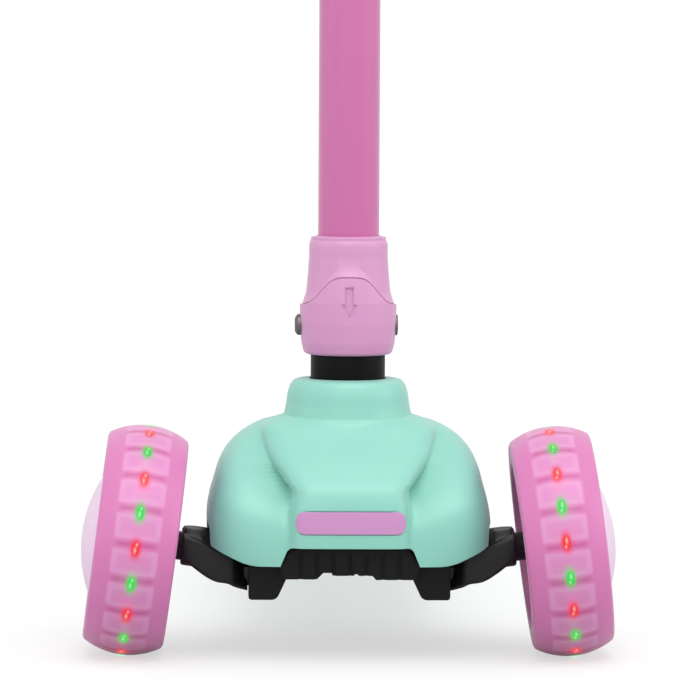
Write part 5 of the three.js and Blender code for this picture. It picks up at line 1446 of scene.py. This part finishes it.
def makeSeals(start):
    near = tubePiece("seal", 5.95, 9.15, 0.25, 0.45, 64, (0, 0.1, 0, 0))
    far = tubePiece("seal", 5.95, 9.15, 6.55, 6.75, 64, (0, 0, 0.1, 0))
    return settle(joinPieces(near, far), moved(start, 0, 0) @ alongX)


makeFrontTyres()
makeFrontHubs()
makeHubCaps()
makeWheelInsides()
print("front wheels made")


# Steering: arms, kingpins and tie rod

# Share of the beam, then its bottom, top, the rise of its back and its depth, as shares
armLevels = [
    (0, -0.6, 0.32, 0.1, 0.5), (0.2, -0.46, 0.5, 0.2, 0.85), (0.3, -0.36, 0.58, 0.32, 0.93),
    (0.5, -0.28, 0.76, 0.46, 1), (0.68, -0.08, 0.92, 0.39, 1), (0.97, 0.38, 1.15, 0.17, 1),
    (1, 0.46, 1.1, 0.14, 0.92),
]
armSizes = {
    "height": 17, "halfDepth": 11.2, "corner": 2.2, "rootX": 52.5, "stations": 28, "bossFrom": -34.4,
    "bossTo": -24.4, "boss": 10, "spigot": 7.5, "spigotEnd": -15.45, "knuckle": 9, "knuckleHalf": 5.5,
}
tieSizes = {
    "pin": 25, "half": 3, "low": -0.2, "high": 3.8, "eye": 6, "hole": 3.3, "tabHalf": 2.5, "tabEnd": 37.7,
    "pinOutline": [(0, -4), (3, -4), (3, 4.9, 0.5), (0, 4.9)],
    "kingpinOutline": [(0, -10.6), (3.5, -10.6), (4, -10.1), (4, 12.8), (0, 12.8)],
}


def onBothSides(piece, name, finish, body, slotName, node, angle=32):
    # The piece stands on the left; its mirror image goes to the right
    dress(piece, finish, body.format("left"), slotName, f"{node}_left", angle=angle)
    piece.name = piece.data.name = f"{name}_left"
    other = mirrorPiece(piece, f"{name}_right")
    other["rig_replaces"] = []
    dress(other, finish, body.format("right"), slotName, f"{node}_right", angle=angle)


def makeArms():
    a, t, middle = armSizes, tieSizes, kingpin["z"]
    endX = (trackX / mm) + a["bossTo"] * math.cos(math.radians(camber))
    rings = []
    for i in range(a["stations"] + 1):
        share = i / a["stations"]
        bottom, top, lift, depth = along(armLevels, share)
        low, high, back = [middle + level * a["height"] for level in (bottom, top, top + lift)]
        y, corner = depth * a["halfDepth"], a["corner"]
        section = roundCorners(
            [(-y, low, corner), (y, low, corner), (y, back, corner), (-y, high, corner)], 5,
        )
        rings.append([Vector((a["rootX"] + (endX - a["rootX"]) * share, py, pz)) for py, pz in section])
    beam = settle(loftedPiece("steering_arm", rings), inFront)
    half = a["knuckleHalf"]
    knuckle = settle(rodAlong("z", "knuckle", a["knuckle"], -half, half, 64, 0.6), onKingpin)
    root = settle(roundedBlock("root", (0, -7, -half), (10.5, 7, half), 0.6), onKingpin)
    lug = raisedPiece("lug", [(-5, 0), (5, 0), (5, 30, 4.9), (-5, 30, 4.9)], -half, -0.5, 0.4)
    settle(lug, onKingpin)
    pin = settle(spunSolid("pin", t["pinOutline"], 32), onKingpin @ moved(0, t["pin"], 0))
    outline = [
        (0, a["bossFrom"]), (a["boss"], a["bossFrom"]), (a["boss"], a["bossTo"], 1.6),
        (a["spigot"], a["bossTo"]),
        (a["spigot"], a["spigotEnd"], 0.8), (0, a["spigotEnd"]),
    ]
    boss = settle(spunSolid("boss", outline, 64), onWheel["left"] @ alongX)
    combine(beam, knuckle, root, lug, pin, boss)
    axleHole = settle(rodAlong("x", "axleHole", boltHole, -38.7, 20), onWheel["left"])
    carve(beam, axleHole, settle(rodAlong("z", "kingpinHole", boltHole, -20, 20), onKingpin))
    useModifier(beam, "WELD", merge_threshold=mm / 50)
    softenEdges(beam, 0.4, 55, 2)
    onBothSides(beam, "arm_moulded", "blackArm", "{}_arm", "black_arm", "steering_arm")

    bolt = combine(spunSolid("shank", t["kingpinOutline"]), hexHead("head", boltHead, 11.3, 15.3, 0.6))
    carve(bolt, hexSocket("key", 5, 13.2, 30))
    settle(bolt, onKingpin)
    onBothSides(bolt, "kingpin_turned", "zincSteel", "chassis", "zinc_steel", "kingpin")

    reach, pinY, low, high = kingpin["x"], t["pin"], t["low"], t["high"]
    rod = roundedBlock("tie_rod_pressed", (-reach, pinY - t["half"], low), (reach, pinY + t["half"], high), 0)
    pins = [moved(reach * sign, pinY, 0) for sign in sideSigns.values()]
    eyes = [settle(rodAlong("z", "eye", t["eye"], low, high), place) for place in pins]
    tab = roundedBlock("tab", (-t["tabHalf"], pinY, -9.6), (t["tabHalf"], t["tabEnd"], 1.8), 0)
    combine(rod, *eyes, tab)
    carve(rod, *[settle(rodAlong("z", "hole", t["hole"], -20, 20, 32), place) for place in pins])
    softenEdges(rod, 0.5, 50, 2)
    dress(settle(rod, onTie), "zincSteel", "tie_rod", "zinc_steel", "tie_rod")


makeArms()
print("steering made")


# Front base: plate, pods, grille, column boss, tray and spring stops

def fromFront(outline, name, front, back, edge=0, corners=4):
    # An outline in X and Z, from its front plane back
    return settle(raisedPiece(name, outline, -back, -front, edge, corners), alongY)


# Outlines in X and Z, and the pocket that each arm's knuckle turns in
baseSizes = {
    "halfWidth": 49.1, "front": -24, "back": 61.7, "plateLow": 59, "plateHigh": 64,
    "trayBack": 104, "trayLow": 45.3, "trayHigh": 51, "trayHalf": 45,
    "boss": 25, "bore": 19.8, "bossFrom": -107.5, "bossTo": -73,
    "pocketHalf": 5.8, "pocket": 9.3, "seat": 7.1, "grooves": 7, "groovePitch": 8.5, "grooveHalf": 1.2,
    "pod": [(32, 61.5), (32, 44), (37.7, 31.7, 4), (50.6, 31.7, 1.6), (50.6, 61.5)],
    "lip": [(40, 61.5), (40, 31.7), (52.2, 31.7, 1.6), (52.2, 61.5)],
    "grille": [
        (29, 60.8, 1.5), (31.5, 58, 1.5), (36, 50.7, 2), (34.5, 43.4, 1), (13.4, 43.4, 0.6),
        (11.6, 45.5, 0.5),
        (4.6, 45.5), (4, 46.3), (2.4, 46.3), (1.8, 45.5), (-9, 45.5, 0.4), (-9.6, 47), (-13.8, 47, 0.6),
        (-17, 43.6, 0.8), (-34.5, 43.6, 1), (-36, 50.7, 2), (-31.5, 58, 1.5), (-29, 60.8, 1.5),
    ],
    "frameBar": [(-30, 57.4), (30, 57.4), (29, 59.4), (-29, 59.4)],
    "stopX": 27, "stopHalf": 2, "stopY": 27.99, "stopLow": 45.98, "stopDepth": 14.1, "stopTop": 62.5,
}


def makeBase():
    b = baseSizes
    wide, front, back, half, tray = b["halfWidth"], b["front"], b["back"], b["pocketHalf"], b["trayHalf"]
    base = roundedBlock("base_moulded", (-wide, front, b["plateLow"]), (wide, back, b["plateHigh"]), 0)
    pod = fromFront(b["pod"], "pod", front, 18, 1.1)
    # A lip in front closes the seam to the arm
    combine(pod, fromFront(b["lip"], "lip", front, -15, 1.1))
    knuckleFrame = moved(kingpin["x"], 0, kingpin["z"]) @ turned(kingpinLean, "X")
    tools = [
        roundedBlock("slot", (-b["pocket"], 0, -half), (20, 38, half), 0),
        roundedBlock("slot", (0, -13, -half), (20, 10, half), 0),
        rodAlong("z", "round", b["pocket"], -half, half, 64), rodAlong("z", "pinHole", boltHole, -10.9, 40),
        rodAlong("z", "seat", b["seat"], 11, 40),
    ]
    carve(pod, *[settle(tool, knuckleFrame) for tool in tools])
    otherPod = mirrorPiece(pod, "otherPod")
    grille = fromFront(b["grille"][::-1], "grille", -32, -22.5, 0.5)
    combine(grille, fromFront(b["frameBar"], "frameBar", -33.4, -30, 0.5))
    grooves = []
    for i in range(b["grooves"]):
        x = b["groovePitch"] * (i + 1) - 34
        low, high = x - b["grooveHalf"], x + b["grooveHalf"]
        grooves.append(fromFront(
            [(low, 40), (high, 40), (high, 57, 0.8), (low, 57, 0.8)], "groove", -60, -30.6,
        ))
    carve(grille, *grooves)
    onNeck = moved(0, shellSizes["neckCentre"], neckRise) @ turned(-stemLean, "X")
    boss = settle(rodAlong("z", "boss", b["boss"], b["bossFrom"], b["bossTo"], 96), onNeck)
    low, high = b["trayLow"], b["trayHigh"]
    plate = roundedBlock("tray", (-tray, 58, low), (tray, b["trayBack"], high), 0)
    riser = roundedBlock("riser", (-tray, 57.7, low), (tray, back, 61.5), 0)
    combine(base, grille, pod, otherPod, boss, plate, riser)
    for sign in sideSigns.values():
        x, y = b["stopX"] * sign, b["stopY"]
        foot, end = (x - b["stopHalf"], y, b["stopLow"]), (
            x + b["stopHalf"], y + b["stopDepth"], b["stopTop"],
        )
        stop = roundedBlock("stop", foot, end, 0)
        combine(base, stop)
    bore = settle(rodAlong("z", "bore", b["bore"], -105, 0, 96), onNeck)
    seat = settle(rodAlong("z", "seat", b["seat"], 11, 40), knuckleFrame)
    carve(base, bore, mirrorPiece(seat, "otherSeat"), seat)
    useModifier(base, "WELD", merge_threshold=mm / 50)
    softenEdges(base, 0.4, 50, 2)
    editMesh(base)
    bpy.ops.mesh.delete_loose(use_verts=True, use_edges=True, use_faces=False)
    bpy.ops.mesh.select_all(action="SELECT")
    bpy.ops.mesh.fill_holes(sides=6)
    bpy.ops.object.mode_set(mode="OBJECT")
    dress(settle(base, inFront), "blackNylon", "chassis", "black_plastic", "front_base")


makeBase()
print("front base made")


# Deck, grip mat and fork

deckSizes = {
    "front": 62, "narrowing": 343, "end": 389, "half": 59, "frontHalf": 55, "tail": 31, "corner": 12,
    "bottom": 45, "top": 67.7, "axleAhead": 440, "matInset": 6, "matFront": 88, "matEnd": 382,
    "cellFrom": 108, "cellEnd": 331, "cellRows": 4, "cellSides": ((2, 47), (-47, -2)), "cellTop": 62.2,
    "trayHalf": 45.3, "trayBack": 104.3, "trayTop": 51.3, "grooves": (-36, -24, -12, 0, 12, 24, 36),
    "grooveHalf": 0.5,
    "forkRound": 12, "forkFrom": 22.6, "forkTo": 31, "forkBoss": 6.5, "pinHole": 3.3,
}
brakePin = (0, -42.87, 24.75)
matRidges = {
    "outline": [(-4.4, 0), (0, 3), (4.4, 0), (4.4, 2.2), (0, 5.2), (-4.4, 2.2)],
    "rows": 32, "across": range(-5, 5), "pitch": 12, "rowPitch": 9,
}


def curveThrough(points, steps):
    # A quadratic or cubic curve sampled without its first point
    found = []
    for k in range(1, steps + 1):
        t, row = k / steps, [Vector(p) for p in points]
        while len(row) > 1:
            row = [a.lerp(b, t) for a, b in zip(row, row[1:])]
        found.append(tuple(row[0]))
    return found


def deckEdge(inset, front, end):
    d = deckSizes
    wide, frontHalf, tail = d["half"] - inset, d["frontHalf"] - inset, d["tail"] - inset / 2
    narrow, corner = d["narrowing"], d["corner"]
    right = [(frontHalf - corner, front)]
    right += curveThrough([right[0], (frontHalf, front), (frontHalf, front + corner)], 8)
    right += curveThrough([right[-1], (wide, (front + narrow) / 2), (wide, narrow - corner)], 14)
    right += curveThrough([right[-1], (wide, narrow + corner), (tail, narrow + corner), (tail, end)], 16)
    return right + [(-x, y) for x, y in right[::-1]]


def makeFork():
    # A rounded cheek on each side of the rear wheel, with holes for its axle and the brake's pin
    d, r = deckSizes, deckSizes["forkRound"]
    angles = [math.radians(-90 + 135 * k / 12) for k in range(13)]
    outline = [(-66, 5), (-51, 5), (-12, -12, 4), *[(r * math.cos(a), r * math.sin(a)) for a in angles]]
    outline += [(-35.8, 27.7, 3), (-66, 27.7)]
    cheek = raisedPiece("cheek", outline, d["forkFrom"], d["forkTo"], 1.2, edgeSteps=3)
    settle(cheek, turned(90, "Z") @ turned(90, "X"))
    combine(cheek, rodAlong("x", "boss", d["forkBoss"], 20.2, 24.1))
    pinHole = settle(rodAlong("x", "pinHole", d["pinHole"], 0, 60), moved(*brakePin))
    carve(cheek, rodAlong("x", "hole", boltHole, 0, 60), pinHole)
    settle(cheek, moved(0, d["axleAhead"], rearSizes["radius"]))
    return cheek, mirrorPiece(cheek, "otherCheek")


def makeDeck():
    d = deckSizes
    deck = raisedPiece(
        "deck_moulded", deckEdge(0, d["front"], d["end"]), d["bottom"], d["top"], 2.6, edgeSteps=4,
    )
    trayRoom = roundedBlock(
        "trayRoom", (-d["trayHalf"], 40, 0), (d["trayHalf"], d["trayBack"], d["trayTop"]), 0,
    )
    pitch = (d["cellEnd"] - d["cellFrom"]) / d["cellRows"]
    cells = []
    for i in range(d["cellRows"]):
        start, end = d["cellFrom"] + pitch * i, d["cellFrom"] - 4 + pitch * (i + 1)
        for low, high in d["cellSides"]:
            outline = [(low, start, 3), (high, start, 3), (high, end, 3), (low, end, 3)]
            cells.append(raisedPiece("cell", outline, 0, d["cellTop"]))
    cheeks = makeFork()
    carve(deck, trayRoom, *cells)
    combine(deck, *cheeks)
    grooves = []
    for x in d["grooves"]:
        low, high = x - d["grooveHalf"], x + d["grooveHalf"]
        grooves.append(fromFront([(low, 50), (high, 50), (high, 62), (low, 62)], "groove", 40, 62.6))
    carve(deck, *grooves)
    softenEdges(deck, 0.35, 50, 2)
    dress(settle(deck, inFront), "mintDeck", "chassis", "mint_deck", "deck", angle=30)


def makeMat():
    d, m = deckSizes, matRidges
    inset, front, end, top = d["matInset"], d["matFront"], d["matEnd"], d["top"]
    mat = raisedPiece("mat_pressed", deckEdge(inset, front, end), top + 0.3, top + 1.5, 0.3)
    ridge = raisedPiece("mat_ridges", m["outline"], top + 1.2, top + 2.3)
    places = []
    for row in range(m["rows"]):
        aside = m["pitch"] / 2 * (row % 2)
        places += [moved(m["pitch"] * k + aside, front + 4 + m["rowPitch"] * row) for k in m["across"]]
    copies = [copyPiece(ridge, "ridge", place) for place in places[1:]]
    ridges = joinPieces(copyPiece(ridge, "mat_ridges", places[0]), *copies)
    bpy.data.objects.remove(ridge)
    trim = raisedPiece("trim", deckEdge(inset + 3, front + 3, end - 3), 60, 80)
    combine(ridges, trim, how="INTERSECT")
    combine(mat, ridges)
    softenEdges(mat, 0.2, 50, 1)
    dress(settle(mat, inFront), "matRubber", "chassis", "mat_rubber", "grip_mat")


# Rear wheel, its axle and the brake fender

rearSizes = {
    "radius": 40, "crown": 60, "crownHalf": 16, "half": 20, "bore": 30.3, "rim": 30, "rimInner": 26,
    "rimHalf": 18.5, "web": 3, "webEdge": 28.5, "core": 7, "boss": 14, "ribs": 6, "pocket": 11.3,
    "pocketFrom": 12.5, "spacer": 6.5,
    "bearings": {"left": 12.8, "right": -19.8}, "headFrom": 31.3, "headTo": 35.9,
    "axleOutline": [(0, -32.6), (4, -32.6), (4, 36.5), (3.4, 37.1), (0, 37.1)],
}


def makeRearWheel():
    r = rearSizes
    half, pocket, start, low, high = r["half"], r["pocket"], r["pocketFrom"], r["headFrom"], r["headTo"]
    crown = crownLine(r["radius"], r["crown"], math.asin(r["crownHalf"] / r["crown"]), 12)
    crown[0], crown[-1] = (*crown[0], 1.2), (*crown[-1], 1.2)
    side = crown[0][0] - 4
    outline = [(r["bore"], -half, 0.4), (side, -half, 1.6), *crown, (side, half, 1.6), (r["bore"], half, 0.4)]
    tyre = settle(spunPiece("rear_tyre_moulded", outline, 144), onRear @ alongX)
    dress(tyre, "rearTyre", "rear_wheel", "pink_tyre", "rear_tyre", angle=24)
    hub = tubePiece("rear_hub_moulded", r["rimInner"], r["rim"], -r["rimHalf"], r["rimHalf"], 120, (0.5,) * 4)
    web = tubePiece("web", r["core"], r["webEdge"], -r["web"], r["web"], 72)
    boss = tubePiece("boss", r["core"], r["boss"], -half, half, 72, (0, 0.6, 0.6, 0))
    ribs = ringOf(roundedBlock("rib", (-1.2, 12, -14), (1.2, 27.5, 14), 0.4), r["ribs"])
    combine(hub, web, boss, ribs)
    upperPocket = rodAlong("z", "pocket", pocket, start, 40, 72)
    carve(hub, upperPocket, rodAlong("z", "pocket", pocket, -40, -start, 72))
    softenEdges(hub, 0.3, 50, 2)
    dress(settle(hub, onRear @ alongX), "lilacHub", "rear_wheel", "lilac_hub", "rear_hub")
    for side, place in r["bearings"].items():
        race = settle(makeBearing(place), onRear)
        race.name = race.data.name = f"rear_race_{side}"
        dress(race, "groundSteel", "rear_wheel", "bearing_steel", f"rear_bearing_{side}")
        seals = settle(makeSeals(place), onRear)
        seals.name = seals.data.name = f"rear_seals_{side}"
        dress(seals, "bearingSeal", "rear_wheel", "mat_rubber")
    spacer = tubePiece("rear_spacer_turned", boltHole, r["spacer"], -start, start, 48, (0.3, 0.4, 0.4, 0.3))
    dress(settle(spacer, onRear @ alongX), "zincSteel", "chassis", "zinc_steel", "rear_spacer")
    shank = spunSolid("rear_axle_turned", r["axleOutline"])
    head = settle(hexHead("head", boltHead, low, high, 0.6), turned(180, "X"))
    carve(head, hexSocket("key", 5, -60, -33.4))
    combine(shank, head)
    dress(settle(shank, onRear @ alongX), "zincSteel", "chassis", "zinc_steel", "rear_axle")
    nut = hexHead("rear_nut_turned", boltHead, low, high, 0.6)
    carve(nut, rodAlong("z", "hole", boltHole, 20, 60))
    dress(settle(nut, onRear @ alongX), "zincSteel", "chassis", "zinc_steel", "rear_axle_nut")


fenderSizes = {
    "inner": 45, "outer": 47.6, "half": 21.6, "from": 18, "to": 150, "steps": 44, "eye": 5.6, "eyeFrom": 11.5,
    "springRoom": 7.1, "pinHole": 3.3, "grooveHalf": 15.5, "grooveDepth": 0.7,
    "grooveAngles": range(58, 112, 7),
    "pinOutline": [(0, -32.5), (2.4, -32.5), (3, -31.9), (3, 31.9), (2.4, 32.5), (0, 32.5)],
}


def makeFender():
    f = fenderSizes
    inner, outer, half, start = f["inner"], f["outer"], f["half"], f["eyeFrom"]
    steps, sweep = f["steps"], f["to"] - f["from"]
    there = [math.radians(f["from"] + sweep * k / steps) for k in range(steps + 1)]
    back = [math.radians(f["to"] - sweep * k / steps) for k in range(steps + 1)]
    outline = [(outer * math.cos(a), outer * math.sin(a)) for a in there]
    outline += [(inner * math.cos(a), inner * math.sin(a)) for a in back]
    fender = raisedPiece("brake_fender_moulded", outline, -half, half, 0)
    settle(fender, turned(90, "Z") @ turned(90, "X"))
    atPin = moved(*brakePin)
    eyes = [
        settle(rodAlong("x", "eye", f["eye"], *ends, 64), atPin) for ends in ((start, half), (-half, -start))
    ]
    carve(fender, settle(rodAlong("x", "springRoom", f["springRoom"], -start, start, 64), atPin))
    combine(fender, *eyes)
    carve(fender, settle(rodAlong("x", "pinHole", f["pinHole"], -40, 40), atPin))
    for angle in f["grooveAngles"]:
        low, high = outer - f["grooveDepth"], outer + 8
        groove = roundedBlock("groove", (-f["grooveHalf"], -1, low), (f["grooveHalf"], 1, high), 0)
        carve(fender, settle(groove, turned(angle - 90, "X")))
    softenEdges(fender, 0.5, 40, 3)
    dress(settle(fender, onRear), "blackNylon", "brake", "black_plastic", "brake_fender", angle=30)
    pin = spunSolid("brake_pin_turned", f["pinOutline"])
    dress(settle(pin, onRear @ atPin @ alongX), "zincSteel", "chassis", "zinc_steel", "brake_pin")


screwSizes = {
    "outline": [(0, 44.2), (3.2, 44.2, 0.6), (3.8, 45.1, 0.3), (3.8, 45.5), (0, 45.5)],
    "crossHalf": (2.2, 0.4), "crossTop": 44.9,
    "places": ((-36, 66), (36, 66), (36, 97), (0, 66), (0, 97)), "first": (-36, 97),
}


def makeScrews():
    # Pan heads under the tray and the base plate
    s, (long, thin) = screwSizes, screwSizes["crossHalf"]
    head = spunSolid("tray_screws", s["outline"], 32)
    for x, y in ((long, thin), (thin, long)):
        carve(head, roundedBlock("cross", (-x, -y, 30), (x, y, s["crossTop"]), 0))
    others = [copyPiece(head, "tray_screws", moved(*place)) for place in s["places"]]
    settle(head, moved(*s["first"]))
    dress(settle(joinPieces(head, *others), inFront), "zincSteel", "chassis", "zinc_steel")


makeDeck()
makeMat()
makeRearWheel()
makeFender()
makeScrews()
print("deck and rear made")


# Camera, lights and floor

cameraPlace = {
    "aim": (1.1, 36, 155.6), "distance": 3300, "azimuth": -1.6, "elevation": 5.9, "roll": 0.38,
    "scale": 1.908,
}


def makeCamera():
    c = cameraPlace
    aim = Vector((c["aim"][0] * mm, frontY + c["aim"][1] * mm, c["aim"][2] * mm))
    around, above = math.radians(c["azimuth"]), math.radians(c["elevation"])
    back = Vector((math.sin(around) * math.cos(above), -math.cos(around) * math.cos(above), math.sin(above)))
    camera = bpy.data.objects.new("camera", bpy.data.cameras.new("camera"))
    bpy.context.scene.collection.objects.link(camera)
    camera.data.sensor_width = 36
    depth = c["distance"] + c["aim"][1]
    camera.data.lens = c["scale"] * 36 * depth / 700
    camera.data.clip_end = 100
    camera.rotation_mode = "QUATERNION"
    camera.location = aim + back * depth * mm
    camera.rotation_quaternion = (-back).to_track_quat("-Z", "Y") @ turned(c["roll"], "Z").to_quaternion()
    bpy.context.scene.camera = camera


studio = {
    "size": 80, "seenTone": 0.36, "castTone": 0.58, "seenGlow": 0.58, "surround": 0.8,
    "lights": {
        "topLight": (1.2, 50, 25, 10), "frontLight": (0.35, 60, 62, -20), "leftLight": (0.28, 40, 75, -80),
        "rightLight": (0.55, 40, 68, 75),
    },
}


def makeStudio():
    s = studio
    deselectAll()
    bpy.ops.mesh.primitive_plane_add(size=s["size"], location=(0, 0, 0))
    floor = bpy.context.active_object
    floor.name = "floor"
    paper = bpy.data.materials.new("paleFloor")
    paper.use_nodes = True
    tree = paper.node_tree
    shader = tree.nodes["Principled BSDF"]
    shader.inputs["Roughness"].default_value = 0.9
    shader.inputs["Specular IOR Level"].default_value = 0.1
    # The camera sees a pale floor with weak shadows, while the parts get the light of a grey one
    tone = addNode(tree, "ShaderNodeMix", data_type="RGBA")
    tone.inputs["A"].default_value = (*[s["castTone"]] * 3, 1)
    tone.inputs["B"].default_value = (*[s["seenTone"]] * 3, 1)
    seen = addNode(tree, "ShaderNodeLightPath").outputs["Is Camera Ray"]
    tree.links.new(seen, tone.inputs["Factor"])
    tree.links.new(tone.outputs["Result"], shader.inputs["Base Color"])
    shader.inputs["Emission Color"].default_value = (1, 1, 1, 1)
    tree.links.new(mathNode(tree, "MULTIPLY", seen, s["seenGlow"]), shader.inputs["Emission Strength"])
    floor.data.materials.append(paper)
    world = bpy.data.worlds.new("studio")
    bpy.context.scene.world = world
    world.use_nodes = True
    background = world.node_tree.nodes["Background"]
    background.inputs["Color"].default_value = (1, 1, 1, 1)
    background.inputs["Strength"].default_value = s["surround"]
    # Each light has a strength, a spread, a tilt and a swing
    for name, (strength, spread, tilt, swing) in s["lights"].items():
        lamp = bpy.data.objects.new(name, bpy.data.lights.new(name, "SUN"))
        lamp.data.energy = strength
        lamp.data.angle = math.radians(spread)
        lamp.rotation_euler = (math.radians(tilt), 0, math.radians(swing))
        bpy.context.scene.collection.objects.link(lamp)
    bpy.context.scene.view_settings.view_transform = "Standard"


makeCamera()
makeStudio()
